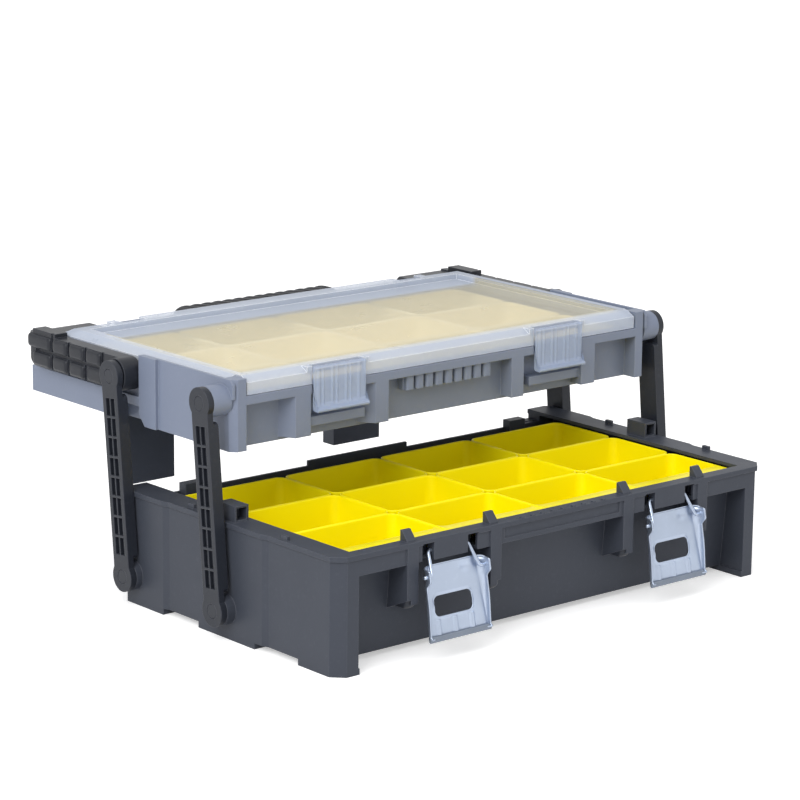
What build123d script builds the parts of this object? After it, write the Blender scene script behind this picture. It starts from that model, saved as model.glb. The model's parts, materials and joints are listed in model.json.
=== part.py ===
from build123d import *
import os
from math import acos, cos, degrees, radians, sin, tan

os.makedirs("parts", exist_ok=True)

# Two-tier cantilever tool box, opened: a deep tub on the floor, and a lidded tray that four
# parallel arms hold up and back. The origin is on the floor under the middle of the tub,
# +X to the right, +Y to the back, +Z up. All lengths are in millimetres.

# Tub
tub_width = 460.0
tub_depth = 270.0
tub_height = 94.0
tub_wall = 2.6
floor_thickness = 3.0
foot_height = 5.0
corner_cut = 9.5
side_step = 2.2
side_step_run = 6.0
first_step = 84.0
second_step = 209.0
rim_height = 4.0
rim_overhang = 1.2
side_deck = 20.7
front_deck = 11.5
deck_thickness = 3.0
band_height = 17.0
post_width = 22.0
front_recess_top = 21.0
front_recess_bottom = 27.0
rear_recess = 13.0
rear_post_width = 30.0
rear_wall_drop = 8.0
front_foot_length = 48.0
rear_tab_near = 168.0
rear_tab_width = 18.0
rear_strip_half = 54.0
rib_places = (62.0, 180.0)
rib_length = 7.0
runner_length = 72.0

# Cups
cup_wall = 1.4
cup_floor = 1.6
cup_draft = 3.0
cup_corner = 7.0
cup_gap = 0.3
cup_seat_gap = 0.3
lower_cup_drop = 4.0
cup_column = 102.0
cup_row = 71.0
front_cup_gap = 1.4
mouth_gap = 0.5
second_row = 88.5
lip_thickness = 2.2

# Cantilever arms
arm_length = 163.0
arm_lean = 5.5
arm_reach = 15.0
arm_head_radius = 12.5
arm_head_thickness = 5.5
arm_waist = 20.0
arm_back_depth = 4.5
arm_shoulder = 17.0
ladder_width = 13.0
ladder_depth = 3.6
ladder_bays = 8
ladder_rib = 1.8
pivot_height = 24.5
front_pivot = 134.7
pivot_spacing = 120.0

# Pivot pins
pin_radius = 4.0
pin_head_radius = 5.6
pin_head_height = 1.2
pin_clearance = 0.06
pin_seat = 0.02
boss_gap = 0.3

# Tray
tray_inset = 7.0
tray_pivot_height = 40.0
tray_rest_gap = 0.5
tray_setback = 0.5
tray_wall = 2.6
tray_floor = 2.4
tray_side_height = 57.0
tray_front_height = 43.0
tray_corner = 5.0
tray_post_width = 13.5
tray_recess = 13.0
tray_band = 7.0
tray_body_length = 240.0
rear_ledge_depth = 36.0
tray_shoulder = 119.5
tray_rear_inset = 4.5
ledge_height = 21.5
pilaster_start = 97.0
pilaster_proud = 3.0
boss_radius = 12.5
rear_ear_radius = 9.0
rear_ear_proud = 2.7

# Lid
lid_gap = 2.4
lid_skirt = 14.5
lid_wall = 2.2
lid_border = 15.0
lid_sink = 5.0
lid_slope_drop = 4.5
lid_slope_run = 8.0
lid_low_corner = 51.0
hinge_inset = 71.0
hinge_width = 24.0
hinge_pin_radius = 1.5
hinge_setback = 4.0
hinge_drop = 4.5
lid_latch_width = 52.0
lid_latch_height = 35.0
lid_latch_lip = 4.5

# Draw latches
latch_x = 118.0
bar_half = 17.0
wire_radius = 1.4
wire_half = 22.0
wire_ear = 32.2
wire_drop = 17.5
wire_forward = 10.2
plate_width = 62.0
plate_sheet = 1.5
plate_tilt = 11.5
plate_up = 8.5
plate_down = 51.5
plate_offset = 6.0

# Handle
handle_arm_gap = 1.0
handle_thickness = 17.0
handle_hub_proud = 4.5
handle_corner = 9.0
handle_blocks = 4
handle_end_cut = 8.5
handle_end_run = 11.5
corner_plate_length = 32.0
corner_plate_height = 3.5
corner_plate_setback = 10.0
block_proud = 1.6
handle_height = 27.0
handle_gap = 7.9
crossbar_depth = 20.0
crossbar_height = 24.0
crossbar_waist = 6.0
crossbar_waist_end = 163.0
crossbar_waist_run = 8.5
grip_half = 83.0
grip_wall = 2.6
grip_top = 15.5
grip_low = 12.0
grip_rings = 16

# Rear legs of the tray
leg_inner = 89.0
leg_outer = 142.5
leg_depth = 15.5
leg_drop = 93.0
leg_wall = 2.5

# Places worked out from the sizes above
y_front = -tub_depth / 2
y_back = tub_depth / 2
tub_floor_top = foot_height + floor_thickness
rise_when_closed = tub_height + tray_rest_gap + tray_pivot_height - pivot_height
closed_angle = degrees(acos(rise_when_closed / arm_length))
lift_swing = arm_lean + closed_angle
lean_shift = arm_length * sin(radians(arm_lean))
closed_shift = arm_length * sin(radians(closed_angle))
tray_y = y_front + tray_setback + lean_shift + closed_shift
tray_z = pivot_height + arm_length * cos(radians(arm_lean)) - tray_pivot_height
lower_pivots = {"front": y_front + front_pivot, "rear": y_front + front_pivot + pivot_spacing}
upper_pivots = {end: y + lean_shift for end, y in lower_pivots.items()}
upper_pivot_z = tray_z + tray_pivot_height
tray_half = tub_width / 2 - tray_inset
tray_rear_half = tray_half - tray_rear_inset
hinge_x = tray_half - hinge_inset
lid_ridge_half = tray_half - lid_low_corner
arm_outer = tub_width / 2 + arm_reach
arm_inner = arm_outer - arm_head_thickness
handle_outer = arm_inner - handle_arm_gap
handle_side = handle_outer - handle_hub_proud
opening_half = tub_width / 2 - side_deck
tray_length = tray_body_length + rear_ledge_depth
handle_reach = tray_y + tray_body_length + handle_gap + crossbar_depth - upper_pivots["rear"]
sides = {"left": -1, "right": 1}


def tray_level(height):
    """A level plane at a height above the tray's underside, with its origin at the tray's front."""
    return Plane(origin=(0, tray_y, tray_z + height))


def tray_face(y):
    """The plane across Y at y behind the tray's front, facing forward, with X along it and Z up it."""
    return Plane(origin=(0, tray_y + y, tray_z), x_dir=(1, 0, 0), z_dir=(0, -1, 0))


def section(x):
    """The plane across X at x, with Y along it and Z up it."""
    return Plane.YZ.offset(x)


def tray_section(x):
    """The plane across X at x, measured from the tray's front and underside."""
    return Plane(origin=(x, tray_y, tray_z), x_dir=(0, 1, 0), z_dir=(1, 0, 0))


def carry(points, plane, length, mode=Mode.ADD, both=False):
    """A closed outline on a plane, carried along the plane's normal."""
    with BuildSketch(plane) as outline:
        with BuildLine():
            Polyline(*points, close=True)
        make_face()
    extrude(outline.sketch, amount=length, both=both, mode=mode)


def span(points, place, x_low, x_high, mode=Mode.ADD):
    """A side profile of the piece, carried from x_low to x_high."""
    carry(points, place(x_low), x_high - x_low, mode)


def pair(points, place, near, far, mode=Mode.ADD):
    """The same profile on the left and on the right, between two distances from the middle."""
    span(points, place, near, far, mode)
    span(points, place, -far, -near, mode)


def box_points(low, high):
    """The corners of a rectangle between two opposite ones."""
    return [(low[0], low[1]), (high[0], low[1]), (high[0], high[1]), (low[0], high[1])]


def keep(piece, name):
    """Labels a finished piece and writes it out."""
    piece.part.label = name
    export_step(piece.part, f"parts/{name}.step")


# Tub
def tub_outline(inset, cut=0.0):
    """Half of the tub's plan, from the middle of its front round to the middle of its back."""
    half = tub_width / 2 - inset
    front = y_front + inset
    back = y_back - inset - cut
    mid = half + side_step
    rear = half + 2 * side_step
    return [
        (0, front),
        (half - corner_cut, front),
        (half, front + corner_cut),
        (half, y_front + first_step),
        (mid, y_front + first_step + side_step_run),
        (mid, y_front + second_step),
        (rear, y_front + second_step + side_step_run),
        (rear, back - corner_cut / 2),
        (rear - corner_cut / 2, back),
        (0, back),
    ]


def tub_layer(inset, low, high):
    """The tub's plan, both halves, between two heights."""
    with BuildSketch(Plane.XY.offset(low)) as plan:
        with BuildLine():
            Polyline(*tub_outline(inset), close=True)
        make_face()
        mirror(about=Plane.YZ)
    extrude(plan.sketch, amount=high - low)


recess_half = tub_width / 2 - post_width
band_bottom = tub_height - band_height
rear_wall = y_back - rear_recess
inner_half = tub_width / 2 - rim_overhang - tub_wall
deck_bottom = tub_height - deck_thickness
tower_width = 11.0
tower_bottom = 38.0
tower_front_bottom = 49.0
tooth_height = 8.5
tooth_front = 2.9
tooth_back = 11.2
tooth_tip = 2.0
outer_tower = latch_x + 32.5
inner_tower = latch_x - 41.0 - tower_width
bar_depth = 8.4
bar_low = tub_height - band_height
wire_notch = 11.0
wire_y = y_front + 4.2
wire_z = tub_height - 10.0
tooth_width = 8.5
hook_width = 7.0
hook_drop = 4.0
ledge_teeth = 9
ledge_pitch = 11.0
block_setback = 2.0
block_width = 13.0
block_far = tub_width / 2 - block_setback
block_near = block_far - block_width
block_height = 13.0
block_front = 127.0
block_back = 149.0
socket_depth = 10.0

with BuildPart() as tub:
    tub_layer(rim_overhang, foot_height, tub_height - rim_height)
    tub_layer(0.0, tub_height - rim_height, tub_height)
    # the front wall stands back under the band, between the corner posts
    recess = [
        (y_front - 1, foot_height - 1),
        (y_front + front_recess_bottom, foot_height - 1),
        (y_front + front_recess_bottom, foot_height),
        (y_front + front_recess_top, band_bottom),
        (y_front - 1, band_bottom),
    ]
    span(recess, section, -recess_half, recess_half, Mode.SUBTRACT)
    # the rear wall stands back between the rear posts, clear of the tray's legs
    rear_half = tub_width / 2 - rear_post_width
    rear_cut = box_points((rear_wall, 0), (y_back + 1, tub_height + 1))
    span(rear_cut, section, -rear_half, rear_half, Mode.SUBTRACT)
    # hollow, with a deck round the top
    hollow = [
        (y_front + front_recess_bottom + tub_wall, tub_floor_top),
        (rear_wall - tub_wall, tub_floor_top),
        (rear_wall - tub_wall, deck_bottom),
        (y_front + front_recess_top + tub_wall, deck_bottom),
        (y_front + front_recess_top + tub_wall, band_bottom),
    ]
    span(hollow, section, -inner_half, inner_half, Mode.SUBTRACT)
    under_band = box_points(
        (y_front + rim_overhang + tub_wall, band_bottom + tub_wall),
        (y_front + front_recess_top + tub_wall + 1, deck_bottom),
    )
    span(under_band, section, -opening_half - 1.5, opening_half + 1.5, Mode.SUBTRACT)
    mouth = box_points((y_front + front_deck, deck_bottom - 1), (rear_wall - tub_wall, tub_height + 1))
    span(mouth, section, -opening_half, opening_half, Mode.SUBTRACT)
    # the rear wall's top is low, with a raised strip and two hinge-side tabs
    low_back = box_points(
        (rear_wall - tub_wall - 1, tub_height - rear_wall_drop),
        (y_back + 1, tub_height + 1),
    )
    span(low_back, section, -opening_half, opening_half, Mode.SUBTRACT)
    strip = box_points((rear_wall - tub_wall, tub_height - rear_wall_drop - 6), (rear_wall, tub_height - 3.5))
    span(strip, section, -rear_strip_half, rear_strip_half)
    rear_tab = box_points((rear_wall - 9, tub_height - 14), (rear_wall, tub_height - 1))
    pair(rear_tab, section, rear_tab_near, rear_tab_near + rear_tab_width)
    # corner feet and the runner across the middle of the floor
    foot_half = tub_width / 2 - rim_overhang
    rear_foot_start = y_front + second_step + side_step_run
    for side in (-1, 1):
        front_foot = [
            (side * (foot_half - corner_cut), y_front + rim_overhang),
            (side * foot_half, y_front + rim_overhang + corner_cut),
            (side * foot_half, y_front + front_foot_length),
            (side * (foot_half - post_width), y_front + front_foot_length),
            (side * (foot_half - post_width), y_front + rim_overhang),
        ]
        carry(front_foot, Plane.XY, foot_height)
        rear_foot = [
            (side * (foot_half + 2 * side_step), rear_foot_start),
            (side * (foot_half + 2 * side_step), y_back - rim_overhang - corner_cut / 2),
            (side * (foot_half + 2 * side_step - corner_cut / 2), y_back - rim_overhang),
            (side * (foot_half - post_width), y_back - rim_overhang),
            (side * (foot_half - post_width), rear_foot_start),
        ]
        carry(rear_foot, Plane.XY, foot_height)
    runner_half = foot_half + side_step
    runner = box_points((-runner_half, -runner_length / 2), (runner_half, runner_length / 2))
    carry(runner, Plane.XY, foot_height)
    # a pair of towers beside each draw latch, each with a pointed tooth that guides the tray
    tower = [
        (y_front, tower_front_bottom),
        (y_front, tub_height),
        (y_front + tooth_back, tub_height),
        (y_front + tooth_back, deck_bottom - 2),
        (y_front + front_recess_top + 1, band_bottom),
        (y_front + front_recess_bottom - 2, tower_bottom),
    ]
    tooth = [
        (y_front + tooth_front, deck_bottom),
        (y_front + tooth_front, tub_height + 1),
        (y_front + tooth_back - tooth_tip, tub_height + tooth_height),
        (y_front + tooth_back, tub_height + tooth_height),
        (y_front + tooth_back, deck_bottom),
    ]
    hook = box_points((y_front, tower_front_bottom - hook_drop), (y_front + 4.0, tower_front_bottom + 3))
    for near in (outer_tower, inner_tower):
        pair(tower, section, near, near + tower_width)
        latch_side = near if near == outer_tower else near + tower_width - hook_width
        pair(hook, section, latch_side, latch_side + hook_width)
        start = near + 0.8 if near == outer_tower else near + tower_width - 0.8 - tooth_width
        pair(tooth, section, start, start + tooth_width)
    # the bar that carries each wire, with a notch at either end for the wire's legs
    bar = box_points((y_front, bar_low), (y_front + bar_depth, deck_bottom + 1))
    notch = box_points((y_front - 1, bar_low - 1), (y_front + bar_depth + 0.5, deck_bottom))
    pair(bar, section, latch_x - bar_half - wire_notch, latch_x + bar_half + wire_notch)
    pair(notch, section, latch_x - bar_half - wire_notch, latch_x - bar_half, Mode.SUBTRACT)
    pair(notch, section, latch_x + bar_half, latch_x + bar_half + wire_notch, Mode.SUBTRACT)
    for side in (-1, 1):
        with BuildSketch(section(side * latch_x)) as bore:
            with Locations((wire_y, wire_z)):
                Circle(wire_radius + pin_clearance)
        extrude(bore.sketch, amount=bar_half + 1, both=True, mode=Mode.SUBTRACT)
    # bosses and bores for the lower pivots of the arms
    for side in (-1, 1):
        for y in lower_pivots.values():
            with BuildSketch(section(side * (arm_inner - boss_gap))) as boss:
                with Locations((y, pivot_height)):
                    Circle(boss_radius)
            extrude(boss.sketch, amount=-side * (arm_inner - boss_gap - inner_half), mode=Mode.ADD)
            with BuildSketch(section(side * arm_outer)) as bore:
                with Locations((y, pivot_height)):
                    Circle(pin_radius + pin_seat)
            extrude(bore.sketch, amount=-side * (arm_outer - inner_half + 1), mode=Mode.SUBTRACT)
    # blocks on the side decks, each with a square socket open to the front
    block = box_points(
        (y_front + block_front, tub_height - 1),
        (y_front + block_back, tub_height + block_height),
    )
    pair(block, section, block_near, block_far)
    socket = box_points(
        (y_front + block_front - 1, tub_height + 1.5),
        (y_front + block_front + socket_depth, tub_height + block_height - 1.8),
    )
    pair(socket, section, block_near + 1.8, block_far - 1.8, Mode.SUBTRACT)
    # low locating ribs along the side decks
    for y in rib_places:
        rib = box_points((y_front + y, tub_height - 1), (y_front + y + rib_length, tub_height + 3.5))
        pair(rib, section, tub_width / 2 - 4.5, tub_width / 2 - 1.5)
    # finger ledge in the middle of the band, and a row of small nibs above it
    ledge = box_points((y_front - 1, band_bottom + 4), (y_front + 2.2, tub_height - 4))
    span(ledge, section, -inner_tower + 4, inner_tower - 4, Mode.SUBTRACT)
    nib = box_points((y_front, tub_height - 1), (y_front + 3.0, tub_height + 1.2))
    for n in range(ledge_teeth):
        x = ledge_pitch * (n - (ledge_teeth - 1) / 2)
        span(nib, section, x - 1.5, x + 1.5)
keep(tub, "tub")


# Cups
def cup_plan(width, depth, corner):
    """The plan of a cup, centred, with each corner turned in three short flats."""
    quarter = [(corner * (1 - cos(radians(t))), corner * (1 - sin(radians(t)))) for t in (0, 30, 60, 90)]
    x, y = width / 2, depth / 2
    return (
        [(-x + a, -y + b) for a, b in quarter]
        + [(x - a, -y + b) for a, b in reversed(quarter)]
        + [(x - a, y - b) for a, b in quarter]
        + [(-x + a, y - b) for a, b in reversed(quarter)]
    )


def drafted(centre, width, depth, corner, top, base, mode=Mode.ADD):
    """A block with the cup's plan at its top, whose flat walls lean in towards its base."""
    inset = (top - base) * tan(radians(cup_draft))
    with BuildSketch(Plane(origin=(*centre, top))) as upper:
        with BuildLine():
            Polyline(*cup_plan(width, depth, corner), close=True)
        make_face()
    with BuildSketch(Plane(origin=(*centre, base))) as lower:
        with BuildLine():
            Polyline(*cup_plan(width - 2 * inset, depth - 2 * inset, corner - inset / 3), close=True)
        make_face()
    loft([upper.sketch, lower.sketch], ruled=True, mode=mode)


def cup(name, x_low, x_high, y_low, y_high, base, top, lip=0.0):
    """An open cup with turned corners and drafted walls, and a front lip where asked for."""
    width = x_high - x_low - 2 * cup_gap
    depth = y_high - y_low - 2 * cup_gap
    centre = ((x_low + x_high) / 2, (y_low + y_high) / 2)
    with BuildPart() as piece:
        drafted(centre, width, depth, cup_corner, top, base)
        if lip:
            with BuildSketch(Plane(origin=(*centre, top))):
                with Locations((0, (cup_corner - lip - depth) / 2)):
                    Rectangle(width, lip + cup_corner)
            extrude(amount=-lip_thickness)
        drafted(
            centre, width - 2 * cup_wall, depth - 2 * cup_wall, cup_corner - cup_wall, top, base + cup_floor,
            Mode.SUBTRACT,
        )
    keep(piece, name)


cup_edge = opening_half - mouth_gap
columns = [-cup_edge, -cup_column, 0.0, cup_column, cup_edge]
front_row_start = y_front + front_recess_bottom + tub_wall + front_cup_gap
front_row_lip = front_row_start - y_front - front_deck - mouth_gap
rows = [front_row_start] + [y_front + second_row + cup_row * n for n in range(3)]
for r in range(3):
    for c in range(4):
        cup(
            f"lower_cup_{r + 1}_{c + 1}",
            columns[c],
            columns[c + 1],
            rows[r],
            rows[r + 1],
            tub_floor_top + cup_seat_gap,
            tub_height - lower_cup_drop,
            lip=front_row_lip if r == 0 else 0.0,
        )


# Tray
def tray_outline(half, rear_half, front, back, corner):
    """Half of the tray's plan, narrower behind its shoulder."""
    shoulder = [(half, tray_shoulder), (rear_half, tray_shoulder)] if half != rear_half else []
    return [
        (0, front),
        (half - corner, front),
        (half, front + corner),
        *shoulder,
        (rear_half, back),
        (0, back),
    ]


def tray_layer(
    half, rear_half, low, high, front=0.0, back=tray_body_length, corner=tray_corner, mode=Mode.ADD
):
    """The tray's plan, both halves, between two heights above its underside."""
    with BuildSketch(tray_level(low)) as plan:
        with BuildLine():
            Polyline(*tray_outline(half, rear_half, front, back, corner), close=True)
        make_face()
        mirror(about=Plane.YZ)
    extrude(plan.sketch, amount=high - low, mode=mode)


tray_tower_near = latch_x + 28.0
tray_tower_far = tray_tower_near + 15.5
inner_tray_tower_far = latch_x - 28.0
inner_tray_tower_near = inner_tray_tower_far - 24.0
tray_tower_skin = 2.2
cup_side = 210.8
post_inner = tray_half - tray_post_width
post_depth = tray_recess
bay_depth = 4.5
grip_teeth = 9
grip_pitch = 10.4
catch_low = 9.0
catch_high = 16.5
channel_near = cup_side + 2.2
tray_inner_half = tray_rear_half - tray_wall
tray_hollow_front = tray_recess + tray_wall
lid_latch_bottom = tray_side_height + 0.5 - lid_latch_height
hinge_y = tray_body_length - hinge_setback
hinge_z = tray_side_height + 0.5 - hinge_drop
rear_hub_y = upper_pivots["rear"] - tray_y
front_boss_y = upper_pivots["front"] - tray_y

with BuildPart() as tray:
    tray_layer(tray_half, tray_half, 0, ledge_height, back=tray_length)
    tray_layer(tray_half, tray_rear_half, ledge_height, tray_front_height)
    # side walls rise past the lid's ends, in front of the shoulder
    wall_top = [
        (0, tray_front_height - 1),
        (0, tray_side_height - 4),
        (3, tray_side_height),
        (tray_shoulder, tray_side_height),
        (tray_shoulder, tray_front_height - 1),
    ]
    pair(wall_top, tray_section, tray_half - tray_wall, tray_half)
    for side in (-1, 1):
        post = [
            (side * post_inner, 0),
            (side * (tray_half - tray_corner), 0),
            (side * tray_half, tray_corner),
            (side * tray_half, post_depth),
            (side * post_inner, post_depth),
        ]
        carry(post, tray_level(tray_front_height - 1), tray_side_height - tray_front_height + 1)
    # the pilaster on each side, in front of the handle's hub
    pilaster = box_points((pilaster_start, 0), (tray_shoulder, tray_side_height))
    pair(pilaster, tray_section, tray_half - tray_wall, tray_half + pilaster_proud)
    # the front wall stands back between the corner posts, under the band
    front_cut = box_points((-1, -1), (tray_recess, tray_front_height - tray_band))
    span(front_cut, tray_section, tray_post_width - tray_half, tray_half - tray_post_width, Mode.SUBTRACT)
    # hollow
    tray_layer(
        cup_side, tray_inner_half, tray_floor, tray_side_height + 1,
        front=tray_hollow_front, back=tray_body_length - tray_wall, corner=1.0, mode=Mode.SUBTRACT,
    )
    channel = box_points(
        (tray_hollow_front + 2, -1),
        (tray_shoulder - tray_wall, tray_front_height - tray_wall),
    )
    pair(channel, tray_section, channel_near, tray_half - tray_wall, Mode.SUBTRACT)
    housing = box_points((tray_shoulder - 1, 0), (block_back + 3, block_height + 2))
    pair(housing, tray_section, cup_side, tray_half - 0.01)
    rear_pan = box_points((tray_body_length, tray_floor), (tray_length - tray_wall, ledge_height + 1))
    span(rear_pan, tray_section, tray_wall - tray_half, tray_half - tray_wall, Mode.SUBTRACT)
    # towers at the front, hollow below where the tub's teeth enter them
    outer_plan = [
        (tray_tower_near, 0),
        (tray_tower_far, 0),
        (tray_tower_far + 8, tray_recess + 1),
        (tray_tower_near, tray_recess + 1),
    ]
    inner_plan = [
        (inner_tray_tower_near + 0.5, 0),
        (inner_tray_tower_far - 10, 0),
        (inner_tray_tower_far, tray_recess + 1),
        (inner_tray_tower_near, tray_recess + 1),
    ]
    for plan_points in (outer_plan, inner_plan):
        for side in (-1, 1):
            carry([(side * x, y) for x, y in plan_points], tray_level(2.5), tray_front_height - 2.5)
    tooth_room = box_points((tray_tower_skin, -1), (tray_recess, tooth_height + 3))
    outer_room = outer_tower
    inner_room = inner_tower + tower_width - tooth_width - 1.6
    pair(tooth_room, tray_section, outer_room, outer_room + tooth_width + 1.6, Mode.SUBTRACT)
    pair(tooth_room, tray_section, inner_room, inner_room + tooth_width + 1.6, Mode.SUBTRACT)
    # catch ledge for each draw latch
    catch = box_points((3.0, catch_low), (tray_recess + 1, catch_high))
    pair(catch, tray_section, inner_tray_tower_far - 1, tray_tower_near + 1)
    # shallow bay in the band behind each lid latch
    bay = box_points((-1, lid_latch_bottom - 3), (bay_depth, tray_front_height + 1))
    bay_half = lid_latch_width / 2 + 1
    pair(bay, tray_section, latch_x - bay_half, latch_x + bay_half, Mode.SUBTRACT)
    # finger grip under the middle of the band: a row of upright rounded ribs
    for n in range(grip_teeth):
        x = grip_pitch * (n - (grip_teeth - 1) / 2)
        with BuildSketch(tray_level(tray_front_height - tray_band - 12)) as scallop:
            with Locations((x, 4.5)):
                RectangleRounded(grip_pitch - 2.4, 5.0, 2.2)
        extrude(scallop.sketch, amount=13)
    grip_back = box_points(
        (6.0, tray_front_height - tray_band - 12),
        (tray_recess + 1, tray_front_height - 1),
    )
    span(grip_back, tray_section, -grip_pitch * grip_teeth / 2, grip_pitch * grip_teeth / 2)
    # room under the sides for the tub's blocks
    pocket = [
        (block_front - block_height - 3, -1),
        (block_front - 3, block_height + 1),
        (block_back + 1, block_height + 1),
        (block_back + 1, -1),
    ]
    pair(pocket, tray_section, channel_near, tray_half + pilaster_proud + 1, Mode.SUBTRACT)
    # bosses and bores for the upper pivots
    for side in (-1, 1):
        with BuildSketch(tray_section(side * (arm_inner - boss_gap))) as boss:
            with Locations((front_boss_y, tray_pivot_height)):
                Circle(boss_radius)
        extrude(boss.sketch, amount=-side * (arm_inner - boss_gap - tray_half + 1))
        with BuildSketch(tray_section(side * (tray_rear_half - 0.2))) as ear:
            with Locations((rear_hub_y, tray_pivot_height)):
                Circle(rear_ear_radius)
        extrude(ear.sketch, amount=side * (rear_ear_proud + 0.2))
        for y in (front_boss_y, rear_hub_y):
            reach = arm_outer - (tray_rear_half - 0.2 if y == rear_hub_y else tray_half - tray_wall - 1)
            with BuildSketch(tray_section(side * arm_outer)) as bore:
                with Locations((y, tray_pivot_height)):
                    Circle(pin_radius + pin_seat)
            extrude(bore.sketch, amount=-side * reach, mode=Mode.SUBTRACT)
    # ears for the lid's hinge pins
    ear = [
        (tray_body_length - tray_wall, tray_front_height - 3),
        (tray_body_length, tray_front_height - 3),
        (tray_body_length, hinge_z + 3),
        (hinge_y - 3, hinge_z + 3),
        (hinge_y - 3, hinge_z - 3),
        (tray_body_length - tray_wall, tray_front_height + 1),
    ]
    pair(ear, tray_section, hinge_x - hinge_width / 2, hinge_x + hinge_width / 2)
    for side in (-1, 1):
        with BuildSketch(tray_section(side * hinge_x)) as bore:
            with Locations((hinge_y, hinge_z)):
                Circle(hinge_pin_radius + pin_seat)
        extrude(bore.sketch, amount=hinge_width / 2 + 1, both=True, mode=Mode.SUBTRACT)
keep(tray, "tray")

upper_edge = cup_side - 0.3
upper_columns = [-upper_edge, -upper_edge / 2, 0.0, upper_edge / 2, upper_edge]
upper_front = tray_y + tray_hollow_front + 0.3
upper_back = tray_y + tray_body_length - tray_wall - 0.3
upper_pitch = (upper_back - upper_front) / 3
for r in range(3):
    for c in range(4):
        cup(
            f"upper_cup_{r + 1}_{c + 1}",
            upper_columns[c],
            upper_columns[c + 1],
            upper_front + upper_pitch * r,
            upper_front + upper_pitch * (r + 1),
            tray_z + tray_floor + cup_seat_gap,
            tray_z + tray_front_height - 2.0,
        )

# Lid
lid_half = tray_half - tray_wall - lid_gap
lid_low = tray_front_height + 0.5
lid_top = lid_low + lid_skirt
lid_front = 1.0
notch_half = hinge_width / 2 + 0.6
cheek = 6.0
knuckle_y = lid_front + 2.0
knuckle_z = lid_top - 3.6
knuckle_radius = 3.0
latch_notch_half = lid_latch_width / 2 + 0.4
front_ridge_near = latch_x - latch_notch_half - 5
front_ridge_far = latch_x + latch_notch_half + 5


def slope_under(edge, inward):
    """The wall under the border's slope: edge is the outer edge, and inward is 1 or -1 towards the middle."""
    near = edge + inward * lid_wall
    return [
        (edge + inward, lid_top - 1),
        (near + inward * lid_slope_run, lid_top - 1),
        (near + inward * lid_slope_run, lid_top - lid_wall),
        (near, lid_top - lid_wall - lid_slope_drop),
        (edge + inward, lid_top - lid_wall - lid_slope_drop),
    ]


def slope_over(edge, inward):
    """What the slope takes off the border's outer edge."""
    return [
        (edge + inward * lid_slope_run, lid_top),
        (edge + inward * lid_slope_run, lid_top + 1),
        (edge - inward, lid_top + 1),
        (edge - inward, lid_top - lid_slope_drop * (lid_slope_run + 1) / lid_slope_run),
    ]


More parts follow.
